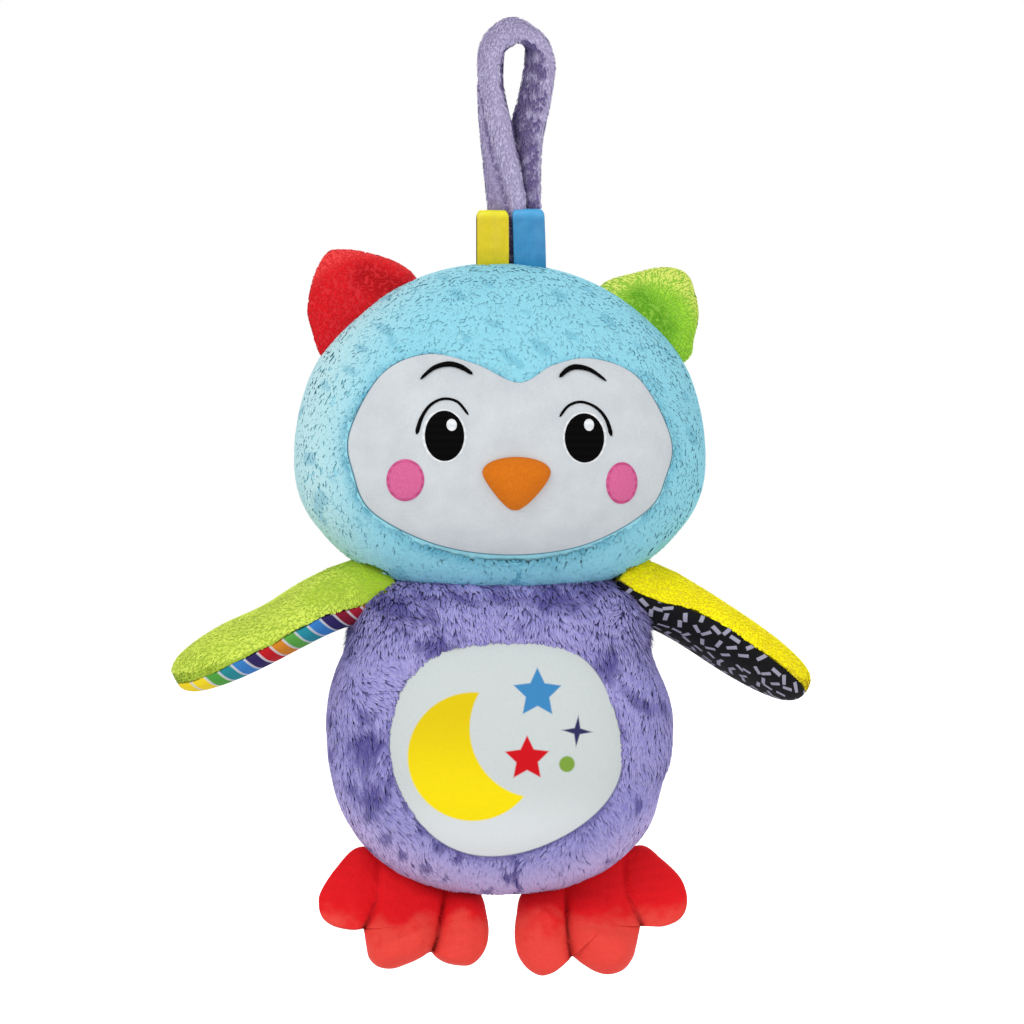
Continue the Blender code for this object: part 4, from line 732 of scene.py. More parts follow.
def patch(name, form, outline, lift, material, slot, tuck=0.0010, rings=26):
    """Cloth on a stuffed form: rings drawn in from its outline, raised by lift(share) metres.

    Share runs from 0 at the middle to 1 at the rim. The back is a second sheet below the skin.
    A point attribute, edge, is 1 at the rim and 0 elsewhere.
    """
    middle = outline.mean(axis=0)
    rows = []
    for share in 1 - np.linspace(1, 0.0, rings) ** 1.6:
        flat = middle + max(share, 0.004) * (outline - middle)
        rows.append(stood(flat, form.front(*flat.T) - lift(share)))
    for share in (0.99, 0.8, 0.5, 0.2, 0.004):
        flat = middle + share * (outline - middle)
        rows.append(stood(flat, form.front(*flat.T) + tuck))
    made = closed_rings(name, rows, material, "owl", slot)
    edge = np.zeros(len(made.data.vertices))
    edge[len(outline) * (rings - 2):len(outline) * (rings + 1)] = 1.0
    carry(made.data, "edge", edge)
    return made


print_cloth, shader, place = cloth("print_white", 0.75)
x_wire, z_wire = place.axis(0), place.axis(2)


def from_spot(x_mm, z_mm):
    """Wires for the place on the cloth, in mm from a spot given from the owl's middle."""
    return (x_wire - MIDDLE_X) * 1000 - x_mm, z_wire * 1000 - z_mm


def disc(x_mm, z_mm, radius, soft=0.35):
    u, v = from_spot(x_mm, z_mm)
    return (u * u + v * v).math("SQRT").step(radius + soft, radius - soft)


def star(x_mm, z_mm, radius, points, inner, turn, soft=0.3):
    """A star's mask: in each wedge, one straight edge runs from a tip to the notch beside it."""
    u, v = from_spot(x_mm, z_mm)
    wedge = math.tau / points
    turned = v.math("ARCTAN2", u) + (turn + math.tau)
    from_tip = wedge / 2 - (turned.math("MODULO", wedge) - wedge / 2).math("ABSOLUTE")
    reach = (u * u + v * v).math("SQRT")
    notch = inner * radius * np.array([math.cos(wedge / 2), math.sin(wedge / 2)])
    off_edge = np.array([notch[1], radius - notch[0]])
    off_edge = (off_edge / np.linalg.norm(off_edge)).tolist()
    outside = (reach * from_tip.math("COSINE") - radius) * off_edge[0]
    outside = outside + reach * from_tip.math("SINE") * off_edge[1]
    return outside.step(soft, -soft)


weave = place.noise(1800.0, 2.0)
woven_white = weave.mix((0.52, 0.57, 0.565), (0.60, 0.64, 0.64))
white_ground = z_wire.step(-0.240, -0.262).mix(woven_white, (0.68, 0.71, 0.725))
up_moon = (from_spot(0.0, -240.0)[1] / 24.0).step(-0.4, 1.0)
golden = up_moon.mix((0.88, 0.70, 0.003), (0.70, 0.53, 0.004))
moon = disc(-12.7, -233.9, 21.0) * (1.0 - disc(8.7, -224.6, 22.7))
printed = moon.mix(white_ground, golden)
for mask, ink in (
    (star(8.2, -213.3, 8.3, 5, 0.49, -0.30), (0.045, 0.225, 0.48)),
    (star(4.7, -234.5, 7.6, 5, 0.49, -0.32), (0.58, 0.004, 0.010)),
    (star(21.3, -225.7, 5.1, 4, 0.27, 0.08), (0.026, 0.025, 0.100)),
    (disc(17.9, -236.4, 2.6), (0.19, 0.33, 0.045)),
):
    printed = mask.mix(printed, ink)
edge = place.attribute("edge")
# painted shade: the window's rim darkens toward violet
colour_of(shader, (edge * 0.85).mix(printed, (0.10, 0.09, 0.26)))
normal_of(shader, (weave + place.noise(60.0, 2.0) * 1.5).bump(0.25, 0.0004))
belly = patch(
    "belly_window", body_form, belly_outline, lambda share: 0.0008 - 0.0020 * share**9, print_cloth,
    "print_white", tuck=0.0022,
)
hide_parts("belly_panel")


# Wings: each is two faces sewn in one seam, the top of plush and the underside of printed
# cotton. Each turns on its shoulder, so its pieces ride on the wing.
WING_ROOT_OUT, WING_ROOT_Z = 0.0462, -0.1782
WING_LENGTH, WING_DEPTH, WING_ROOT_RADIUS = 0.0690, 0.0400, 0.0082
WING_TOP_RISE, WING_UNDERSIDE_RISE = 0.0098, 0.0086
WING_STATIONS = [
    # shares of the length, the depth and the thickness
    (0.12, 0.66, 0.96), (0.26, 0.82, 1.0), (0.42, 0.95, 1.0), (0.58, 1.0, 0.98), (0.72, 0.95, 0.92),
    (0.84, 0.80, 0.80), (0.93, 0.58, 0.62), (0.98, 0.34, 0.38), (1.0, 0.14, 0.16),
]


def wing_grid(side, face_side, draw_in, across=56):
    """One face of a wing in its own frame: arches over the leaf outline, one for each place
    along it, from the rounded root to the tip. Shallow folds run across it near the seam,
    which sinks towards the underside at the root."""
    rows = []
    for turn in range(12, 91, 13):
        bend = math.radians(turn)
        rows.append((-WING_ROOT_RADIUS * math.cos(bend), 0.012, WING_ROOT_RADIUS * math.sin(bend)))
    for share, depth, thick in spline(WING_STATIONS, 64, closed=False):
        full = thick ** (0.62 if face_side > 0 else 0.9)
        full -= 0.16 * bell(share - 0.48, 0.16) * (side < 0 < face_side)
        rows.append((
            share * WING_LENGTH * (1.025 if side < 0 else 0.96), depth * WING_DEPTH / 2,
            full * (WING_TOP_RISE if face_side > 0 else WING_UNDERSIDE_RISE),
        ))
    rows = np.array(rows)
    t = np.linspace(0, math.pi, across)
    along = np.repeat(rows[:, :1], across, axis=1) * side
    deep = rows[:, 1:2] * np.cos(t)
    sunk = 0.0055 * bell(np.maximum(rows[:, :1], 0), 0.013)
    rise = rows[:, 2:3] - draw_in * np.minimum(1, rows[:, 1:2] / 0.006)
    rise = rise + (sunk if face_side > 0 else -0.3 * sunk)
    high = face_side * (0.0002 + rise * np.sin(t) ** 0.92) - sunk
    grid = np.stack([along, deep, high], axis=2)
    folds = waves(grid.reshape(-1, 3) * (1.0, 0.35, 1.0), 0.009, 31 + side * 3 + face_side)
    near_seam = bell(np.sin(t) - 0.25, 0.3) * (rows[:, :1] > 0.006)
    grid[:, :, 2] += face_side * 0.0007 * folds.reshape(len(rows), across) * near_seam
    return grid


def wing_pose(side, twist):
    """A wing's turn and the place of its root. The green one hangs less and sits higher."""
    hang, out, up = (28.0, -0.0012, 0.0008) if side < 0 else (33.7, 0.0010, 0.0)
    turn = np.array(Euler((twist, side * math.radians(hang), 0.0)).to_matrix())
    return turn, np.array([MIDDLE_X + side * (WING_ROOT_OUT + out), 0.0, WING_ROOT_Z + up])


def half_wing(name, side, face_side, draw_in, twist, material, node, slot, body):
    """One closed face of a wing, flat on its seam side, with its cloth's own flat places."""
    grid = wing_grid(side, face_side, draw_in)
    turn, spot = wing_pose(side, twist)
    rows = grid @ turn.T + spot
    made = closed_rings(name, rows, material, body, slot)
    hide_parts(node)
    steps = np.linalg.norm(np.diff(grid[:, ::-1], axis=1), axis=2)
    arc = np.cumsum(np.pad(steps, ((0, 0), (1, 0))), axis=1)[:, ::-1]
    flat = np.stack([grid[:, :, 0] * side, arc, 0 * arc], axis=2).reshape(-1, 3)
    carry(made.data, "cloth", np.vstack([flat, flat[:1], flat[-1:]]), "FLOAT_VECTOR", "vector")
    return rows


def over_grid(rows, count, draw):
    """Points spread evenly over a grid of points, with the grid's own places of each."""
    a, b, c, d = rows[:-1, :-1], rows[:-1, 1:], rows[1:, 1:], rows[1:, :-1]
    normal = np.cross(c - a, d - b)
    area = np.linalg.norm(normal, axis=2)
    index = draw.choice(area.size, count, p=(area / area.sum()).ravel())
    i, j = np.unravel_index(index, area.shape)
    u, v = draw.uniform(0, 1, (2, count, 1))
    spots = (1 - u) * (1 - v) * a[i, j] + (1 - u) * v * b[i, j]
    spots = spots + u * v * c[i, j] + u * (1 - v) * d[i, j]
    return spots, unit(normal[i, j]), i + u[:, 0], j + v[:, 0]


striped, shader, place = cloth("striped_cotton")
own = place.attribute("cloth", "Vector")
STRIPE = 0.0047
slant = (own.axis(0) + own.axis(1) * 0.35 - 0.0012) / STRIPE
number = slant.math("FLOOR")
part_way = slant.math("FRACT")
STRIPE_INKS = [
    (0.42, 0.09, 0.02), (0.34, 0.012, 0.03), (0.22, 0.01, 0.03), (0.03, 0.02, 0.11), (0.04, 0.20, 0.52),
    (0.02, 0.25, 0.32), (0.10, 0.36, 0.06), (0.62, 0.22, 0.02), (0.50, 0.012, 0.02), (0.03, 0.02, 0.11),
    (0.04, 0.20, 0.52), (0.02, 0.24, 0.28), (0.08, 0.33, 0.05), (0.82, 0.64, 0.02),
]
inked = STRIPE_INKS[0]
for k, ink in enumerate(STRIPE_INKS[1:]):
    inked = number.math("GREATER_THAN", k + 0.5).mix(inked, ink)
thread = (part_way - 0.5).math("ABSOLUTE").step(0.38, 0.44)
cotton = own.noise(2400.0, 2.0)
colour_of(shader, (thread * 0.8).mix(inked, (0.60, 0.60, 0.62)))
normal_of(shader, (cotton + place.noise(240.0, 2.0)).bump(0.35, 0.0004))

dashed, shader, place = cloth("dashed_cotton")
own = place.attribute("cloth", "Vector")
spread = own.scaled(205.0)
cells = {"Vector": spread, "Scale": 1.0, "Randomness": 0.7}
spot = spread.node("ShaderNodeTexVoronoi", cells, "Position", voronoi_dimensions="2D")
chance = spread.node("ShaderNodeTexVoronoi", cells, "Color", voronoi_dimensions="2D").axis(0)
away = spread.node("ShaderNodeVectorMath", {0: spread, 1: spot}, operation="SUBTRACT")
turned = away.node(
    "ShaderNodeVectorRotate", {"Vector": away, "Angle": chance * 3.14}, rotation_type="Z_AXIS"
)
from_dash = [turned.axis(k).math("ABSOLUTE") for k in range(2)]
dash = from_dash[0].step(0.41, 0.36) * from_dash[1].step(0.16, 0.11)
cotton = own.noise(2400.0, 2.0)
black_cotton = cotton.mix((0.004, 0.004, 0.005), (0.010, 0.010, 0.012))
colour_of(shader, dash.mix(black_cotton, (0.34, 0.33, 0.42)))
normal_of(shader, (cotton + place.noise(240.0, 2.0)).bump(0.35, 0.0005))

# the green pile's edge tint is painted shade over the wing's root, next to the body
green_under, green_pile = fur(
    "green", (0.40, 0.56, 0.04), (0.36, 0.54, 0.03), (0.54, 0.70, 0.07), (0.70, 0.84, 0.11),
    (0.80, 0.90, 0.18), edge=((-110, -205), 56, 74, (0.38, 0.60, 0.03)),
)
yellow_under, yellow_pile = fur(
    "yellow", (0.84, 0.70, 0.005), (0.86, 0.72, 0.004), (0.96, 0.83, 0.004), (1.0, 0.90, 0.005),
    (1.0, 0.93, 0.02),
)
WING_TUFTS = 12000
for side, word, twist, under, pile_finish, cotton_finish, cotton_slot in (
    (-1, "green", math.radians(8), green_under, green_pile, striped, "striped_cotton"),
    (1, "yellow", math.radians(-8), yellow_under, yellow_pile, dashed, "dashed_cotton"),
):
    wing = f"wing_{word}"
    rows = half_wing(
        f"{word}_wing_skin", side, 1, 0.0003, twist, under, f"{wing}_top", f"plush_{word}", wing
    )
    half_wing(
        f"{word}_wing_lining", side, -1, 0.0, twist, cotton_finish, f"{wing}_underside", cotton_slot, wing
    )
    draw = np.random.default_rng(40 + side)
    spots, normal, _, j = over_grid(rows, WING_TUFTS, draw)
    normal = normal * np.sign(normal[:, 2:])
    normal[j < 1] = unit(normal[j < 1] + (0, -1, 0))
    turn, spot = wing_pose(side, twist)
    way = np.tile(turn @ (side * 1.0, 0.0, -0.2), (len(spots), 1))
    lie = combed(normal, way, 0.5 * waves(spots, 0.012, 44 + side) + 0.25 * waves(spots, 0.004, 45))
    away = np.linalg.norm(spots - spot, axis=1)
    chosen = (away > 0.003) & (head_form.level(spots) > 0.98)
    # painted shade in random creases of the pile
    crease = np.clip(waves(spots, 0.02, 46) * 1.5 - 0.9, 0, 0.6)
    short_pile(
        f"{word}_wing_pile", spots[chosen], normal[chosen], lie[chosen], 0.0014, crease[chosen], 0.16,
        draw, pile_finish, wing, f"plush_{word}",
    )


# Feet: each is one stuffed pad of short red velboa, with creases between its three toes.
velboa_red, shader, place = cloth("velboa_red", 0.7, sheen_weight=0.12, sheen_roughness=0.4)
shader.inputs["Sheen Tint"].default_value = (1.0, 0.35, 0.25, 1.0)
nap = place.noise(1500.0, 3.0, 0.6)
patchy = place.noise(90.0, 3.0)
# painted highlight: the toes turn a paler salmon
toe_highlight = (place.axis(2) + (patchy - 0.5) * 0.03).step(-0.284, -0.294)
red = nap.mix((0.66, 0.004, 0.009), (0.80, 0.008, 0.013))
red = (toe_highlight * (nap * 0.5 + 0.5)).mix(red, (0.80, 0.075, 0.055))
# painted shade in the creases between the toes, fading toward the seam
toe_crease_shade = place.attribute("from_crease").step(0.0016, 0.0001)
colour_of(shader, (toe_crease_shade * 0.6).mix(red, (0.26, 0.003, 0.006)))
normal_of(shader, (nap * 0.7 + patchy * 0.8).bump(0.4, 0.0006))


HOOK_PIXEL, PIXELS_PER_MM = (500, 49), 3


def photo_places(pixels):
    """Places read off the photograph, on the plane of the side seams."""
    from_hook = (np.asarray(pixels, float) - HOOK_PIXEL) * (1, -1) / PIXELS_PER_MM
    return from_middle(from_hook)


def pillow(name, outline, half_thick, lay, material, body, slot, rings=34):
    """A stuffed pad: rings drawn in from its outline, each raised in front and behind by
    half_thick(places, share, face). Lay puts its (x, y, z) points where the pad sits."""
    middle, smooth = outline.mean(axis=0), rounder(outline, 7)
    rows = []
    for face in (-1, 1):
        shares = np.sin(np.linspace(0, math.pi / 2, rings))
        for share in (shares if face < 0 else shares[::-1][1:]):
            ring = outline + (1 - share**5) * (smooth - outline)
            flat = middle + max(share, 0.01) * (ring - middle)
            rows.append(lay(stood(flat, face * half_thick(flat, share, face))))
    return closed_rings(name, rows, material, body, slot), np.array(rows)


def from_line(flat, line):
    """How far each (x, z) is from a line of points."""
    away = np.full(len(flat), np.inf)
    for start, end in zip(line[:-1], line[1:]):
        run = end - start
        t = np.clip(((flat - start) @ run) / (run @ run), 0, 1)[:, None]
        away = np.minimum(away, np.linalg.norm(flat - start - t * run, axis=1))
    return away


FOOT_OUT, FOOT_SEAM_Z = 0.026, -0.2788
FOOT_PITCH = math.tan(math.radians(22))
FOOT_TILT = math.tan(math.radians(22.4))
CAMERA_ASIDE = 0.1045  # how far the camera stands to the side, per metre of its distance
for side, word, pixels, clefts in (
    (-1, "left", [
        (358, 846), (336, 866), (320.5, 890), (318.5, 904), (322, 916), (332, 924), (346, 928),
        (357, 928.5), (362.5, 925.8), (366, 945), (369, 957), (378, 965.5), (392, 967.5), (407, 963),
        (419, 957.5), (430.6, 951.4), (437, 957.5), (446, 962.5), (458, 965), (470, 964.5), (480, 957),
        (486.5, 945), (488.6, 930), (486.6, 914.6), (480, 893), (459, 878), (420, 862), (390, 851),
    ], [
        # the creases between its toes, from the edge inwards
        [(363.5, 927), (371, 912), (376, 897), (378, 882), (379, 862)],
        [(430.6, 953), (435.6, 939.5), (439.4, 917), (443, 900), (445, 885)],
    ]),
    (1, "right", [
        (643, 846), (663, 860), (679, 875), (686, 887), (689, 900), (687.5, 912), (680, 922), (664, 928),
        (650, 927), (643, 924.5), (640, 934), (637, 947), (633, 960), (624, 971), (610, 975.5),
        (596, 972.5), (582, 964), (570, 955.6), (563.5, 964), (554, 972.5), (541.3, 976), (529, 970),
        (520, 959), (515.8, 947), (514.5, 932), (516.5, 914.6), (522, 893), (546, 880), (588, 866),
        (615, 854),
    ], [
        [(642, 926), (635.9, 912), (628.4, 897), (625, 882), (623, 865)],
        [(570, 957), (567.5, 939.5), (566.2, 917), (566, 900), (565, 882)],
    ]),
):
    seam_spot = np.array([MIDDLE_X + side * FOOT_OUT, 0.0, FOOT_SEAM_Z])
    outline = spline(photo_places(pixels), 220)
    creases = [photo_places(cleft) for cleft in clefts]

    def below_seam(x, z):
        return seam_spot[2] - side * FOOT_TILT * (x - seam_spot[0]) - z

    depths = []

    def toes(flat, share, face):
        """Thin at the seam and plump at the toes, with a crease between toes."""
        # distances from the creases, grown toward the seam, for the painted crease shade
        higher = 0.0016 * np.clip((flat[:, 1] + 0.2880) / 0.0150, 0, 1)
        depths.append(higher + np.min([from_line(flat, line) for line in creases], axis=0))
        plump = 0.0042 + 0.0074 * np.clip(below_seam(*flat.T) / 0.014, 0, 1)
        swell = plump * max(0.0, 1 - share**2.8) ** 0.5
        for line in creases:
            away = from_line(flat, line)
            dent = 0.36 * bell(away, 0.0010) + 0.44 * bell(away, 0.0050)
            swell = swell * (1 - dent)
        return swell

    def lay(points):
        """Tilts the pad forwards about its seam, as seen from the camera."""
        drop = points[:, 2] - seam_spot[2]
        pitch = drop * FOOT_PITCH
        points = points + np.column_stack([CAMERA_ASIDE * pitch, pitch, 0 * drop])
        nearer = 1 + points[:, 1] / CAMERA_DISTANCE
        target = np.array(CAMERA_TARGET)
        points = target + (points - target) * np.column_stack([nearer, 1 + 0 * drop, nearer])
        bumps = 0.0005 * waves(points, 0.012, 50 + side) + 0.0002 * waves(points, 0.004, 52)
        return points + np.column_stack([0 * drop, bumps, 0 * drop])

    foot, _ = pillow(f"foot_{word}_plush", outline, toes, lay, velboa_red, None, "velboa_red")
    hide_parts(f"foot_{word}")
    depths = np.concatenate(depths)
    carry(foot.data, "from_crease", np.concatenate([depths, depths[:1], depths[-1:]]))
    down = Vector((side * -0.35, -0.37, -0.86)).normalized()
    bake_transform(foot)


# Head: short blue pile round the white face. The tufts next to the face lean in over its edge.
# the blue pile's edge tint is painted light on the head's left side
blue_under, blue_pile = fur(
    "blue", (0.30, 0.66, 0.77), (0.11, 0.38, 0.52), (0.25, 0.60, 0.725), (0.28, 0.64, 0.765),
    (0.30, 0.665, 0.785), patch=55.0, edge=((24, -135), 66, 90, (0.47, 0.72, 0.765)),
)
HEAD_PILE_HEIGHT = 0.0003
head_skin = skin_copy(
    "head_skin", "head_plush", head_form, HEAD_PILE_HEIGHT, blue_under, "owl"
)
face_outline = spline(from_middle([
    (1.8, -112.2), (13.5, -106.3), (27.0, -104.1), (42.5, -110.5), (53.4, -130.1), (51.5, -143.0),
    (45.2, -154.0), (25.0, -165.0), (0.8, -168.5), (-24.0, -165.2), (-45.0, -154.7), (-51.5, -142.0),
    (-52.7, -128.3), (-42.5, -109.5), (-27.9, -102.8), (-12.5, -106.0),
]), 200)


def temples(points):
    """The head is a little wider than its oval at the height of the brows."""
    side = points[:, 0] - MIDDLE_X
    most = np.where(side > 0, 0.0014, 0.0010) * np.clip((np.abs(side) - 0.046) / 0.015, 0, 1)
    wider = np.sign(side) * most * bell(points[:, 2] + 0.0960, 0.0180)
    return points + wider[:, None] * (1.0, 0.0, 0.0)


HEAD_TUFTS, HEAD_TUFT_LENGTH, HEAD_TUFT_WIDTH = 76000, 0.0027, 0.00135
CHIN_SEAM_X = 0.0025
draw = np.random.default_rng(12)
roots = head_form.scatter(HEAD_TUFTS, draw)
outward = head_form.outward(roots)
flat = roots[:, [0, 2]]
front = roots[:, 1] < 0
gap = np.where(front, beyond(flat, face_outline), 1.0)
x, z = roots[:, 0] - MIDDLE_X, roots[:, 2]
roots = roots - outward * (1.15 * HEAD_PILE_HEIGHT)
way = np.column_stack([0.5 * x / 0.068, 0.25 * roots[:, 1] / head_form.half[1], -np.ones(len(x))])
way += 0.15 * draw.normal(size=way.shape)
twist = 0.7 * waves(roots, 0.020, 61) + 0.4 * waves(roots, 0.007, 62)
lie = leaning_in(combed(outward, way, twist), outward, flat, face_outline, gap, 0.0020, 0.25)
length = HEAD_TUFT_LENGTH * draw.uniform(0.7, 1.25, len(x)) * (1 + 0.2 * waves(roots, 0.010, 63))
chin = np.clip((-0.1600 - z) / 0.0160, 0, 1)
length *= 1 + chin * (0.8 + 0.8 * waves(roots, 0.007, 65))
# painted shade in random creases of the pile
crease = np.clip(waves(roots * (1.5, 1.0, 1.0), 0.012, 64) * 2.2 - 1.2, 0, 0.5)
# painted shadow round the face's edge
face_edge_shadow = np.clip(1.1 - gap / 0.0032, 0, 0.85) * (0.75 + 0.5 * waves(roots, 0.006, 66))
# painted shade along the chin seam
chin_seam_shade = (np.abs(x - CHIN_SEAM_X) < 0.0007) & front & (z < -0.168)
crease = np.maximum(np.maximum(crease, face_edge_shadow), chin_seam_shade)
hidden = (front & (gap < 0.0007)) | (body_form.level(roots) < 0.85)
length *= np.clip(0.45 + gap / 0.004, 0.45, 1)
at_crown = (np.hypot(roots[:, 0], roots[:, 1]) < 0.0022) & (z > -0.09)
hidden |= at_shoulders(x, z) | at_crown
chosen = ~hidden
roots = temples(roots)
roots[:, 2] -= 0.0027 * chin
reshape(head_skin.data, temples)
pile(
    "head_pile", roots[chosen], outward[chosen], lie[chosen], length[chosen],
    HEAD_TUFT_WIDTH * draw.uniform(0.7, 1.25, chosen.sum()), crease[chosen], 7, 0.03, draw,
    blue_pile, "owl", "plush_blue",
)


# Face: white velboa with embroidered eyes and brows, felt cheeks and a padded beak.
velboa_white, shader, place = cloth("velboa_white", 0.8, sheen_weight=0.05)
nap = place.noise(1500.0, 3.0, 0.6)
patchy = place.noise(110.0, 3.0)
edge = place.attribute("edge")
white = (nap * 0.5 + patchy * 0.6).step(0.2, 0.9).mix((0.495, 0.525, 0.555), (0.61, 0.645, 0.67))
# painted shadow: the face's rim darkens toward teal
colour_of(shader, edge.mix(white, (0.035, 0.17, 0.24)))
normal_of(shader, (nap * 0.6 + patchy).bump(0.3, 0.0005))
FACE_RISE = 0.0014


def face_lift(share):
    """Level over the middle and rolled down at the rim."""
    return FACE_RISE * (1 - share**6) ** 0.5 - 0.0004 * share**6


face = patch("face_cloth", head_form, face_outline, face_lift, velboa_white, "velboa_white", rings=34)
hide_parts("face_panel")


def sewn_on(name, outline, above, high, power, root, material, slot, tuck, rings):
    """A patch on the face, domed from its rim to its middle."""
    def lift(share):
        return FACE_RISE + above + high * (1 - share**power) ** root

    return patch(name, head_form, outline, lift, material, slot, tuck, rings)


def stitched(name, colour, painted_sheen, roughness):
    """Satin stitch: fine ridges of thread that run across the shape, with a painted sheen on each ridge.
    """
    made, shader, place = finish(name, roughness, specular_ior_level=0.04)
    ridge = (place.axis(2) * 2600.0 + place.noise(400.0, 2.0) * 2.0).math("SINE") * 0.5 + 0.5
    colour_of(shader, ridge.mix(colour, painted_sheen))
    normal_of(shader, ridge.bump(0.5, 0.0003))
    return made


def oval(x_mm, z_mm, half_x, half_z, count=72):
    t = np.linspace(0, math.tau, count, endpoint=False)
    return from_middle(np.column_stack([x_mm + half_x * np.cos(t), z_mm + half_z * np.sin(t)]))


def stroke(name, line, widths, high, material, slot):
    """A raised line of stitches on the face: ovals along a smooth line, drawn in at its ends."""
    count = 48
    line = spline(from_middle(line), count, closed=False)
    wide = np.interp(np.linspace(0, 1, count), np.linspace(0, 1, len(widths)), widths) / 1000
    wide *= np.clip(np.minimum(np.arange(count), count - 1 - np.arange(count)) / 3, 0.15, 1) ** 0.5
    along = np.gradient(line, axis=0)
    along /= np.linalg.norm(along, axis=1)[:, None]
    across = np.column_stack([-along[:, 1], along[:, 0]])
    rows = []
    for t in np.linspace(0, math.tau, 10, endpoint=False):
        flat = line + across * (wide * math.cos(t) / 2)[:, None]
        out = high * math.sin(t) * np.minimum(1, wide * 1500)
        rows.append(stood(flat, head_form.front(*flat.T) - FACE_RISE - out))
    return closed_rings(name, np.array(rows).transpose(1, 0, 2), material, "owl", slot)


black_thread = stitched("thread_black", (0.001, 0.001, 0.001), (0.002, 0.002, 0.002), 0.75)
white_thread = stitched("satin_white", (0.66, 0.69, 0.72), (0.80, 0.82, 0.84), 0.5)
EYE_RING = 1.7  # mm of white thread round each pupil
for word, eye, half, light_spot, lash, brow in (
    ("left", (-22.7, -129.7), (6.3, 8.15), (-20.5, -126.2), [
        (-31.6, -129.1), (-30.0, -123.9), (-27.1, -119.7), (-22.9, -117.7), (-18.4, -118.7),
        (-15.0, -122.9),
    ], [(-30.1, -111.2), (-25.8, -107.6), (-21.0, -106.3), (-16.9, -107.3), (-13.4, -109.6)]),
    ("right", (22.9, -130.3), (6.6, 8.0), (24.3, -126.1), [
        (32.0, -129.6), (30.4, -124.4), (27.1, -120.5), (22.1, -118.6), (17.7, -119.9),
        (14.7, -123.5),
    ], [(30.7, -111.6), (25.5, -108.1), (20.8, -107.1), (17.7, -108.1), (15.0, -110.5)]),
):
    sewn_on(
        f"eye_ring_{word}", oval(*eye, half[0] + EYE_RING, half[1] + EYE_RING), -0.0003, 0.0006, 5,
        1.0, white_thread, "velboa_white", -0.0006, 12,
    )
    pupil = sewn_on(
        f"eye_pupil_{word}", oval(*eye, *half), 0.0001, 0.0012, 4, 0.5, black_thread, "thread_black",
        -0.0008, 16,
    )
    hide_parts(f"eye_{word}")
    sewn_on(
        f"eye_light_{word}", oval(*light_spot, 1.7, 2.0, 28), 0.0012, 0.0005, 4, 0.5, white_thread,
        "velboa_white", -0.0012, 6,
    )
    stroke(f"lash_{word}", lash, (1.5, 1.1, 0.9, 0.9, 0.9), 0.0005, black_thread, "thread_black")
    stroke(f"brow_{word}", brow, (0.7, 1.4, 1.8, 1.7, 1.0), 0.0006, black_thread, "thread_black")


def felt(name, dark, light):
    """Felt: a short nap with painted shade in its dents."""
    made, shader, place = cloth(name)
    nap = place.noise(1700.0, 3.0, 0.7)
    colour_of(shader, nap.step(0.2, 0.8).mix(dark, light))
    normal_of(shader, nap.bump(0.5, 0.0004))
    return made


felt_pink = felt("felt_pink", (0.56, 0.10, 0.25), (0.69, 0.15, 0.32))
pink_thread = stitched("pink_stitch", (0.50, 0.075, 0.21), (0.62, 0.11, 0.28), 0.6)
CHEEK_HEM = 0.9  # mm of stitches round the felt
for word, spot, half in (("left", (-35.1, -144.0), (6.0, 6.8)), ("right", (35.6, -144.9), (5.4, 6.8))):
    sewn_on(
        f"cheek_edge_{word}", oval(*spot, *half), 0.0, 0.0009, 6, 1.0, pink_thread, "felt_pink",
        -0.0006, 10,
    )
    cheek = sewn_on(
        f"cheek_felt_{word}", oval(*spot, half[0] - CHEEK_HEM, half[1] - CHEEK_HEM), 0.0007, 0.0006, 2,
        1.0, felt_pink, "felt_pink", -0.0009, 12,
    )
    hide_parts(f"cheek_{word}")

felt_orange = felt("felt_orange", (0.58, 0.13, 0.005), (0.68, 0.19, 0.010))
beak_outline = spline(from_middle([
    (0.5, -136.5), (6.2, -137.2), (10.2, -139.0), (11.6, -141.7), (9.8, -145.6), (5.6, -150.6),
    (2.2, -153.3), (0.3, -153.8), (-1.8, -153.2), (-5.0, -150.3), (-8.8, -145.4), (-10.6, -141.7),
    (-9.2, -139.0), (-5.2, -137.2),
]), 110)
beak = sewn_on(
    "beak_felt", beak_outline, 0.0004, 0.0052, 2.2, 0.6, felt_orange, "felt_orange", -0.0006, 20
)
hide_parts("beak")


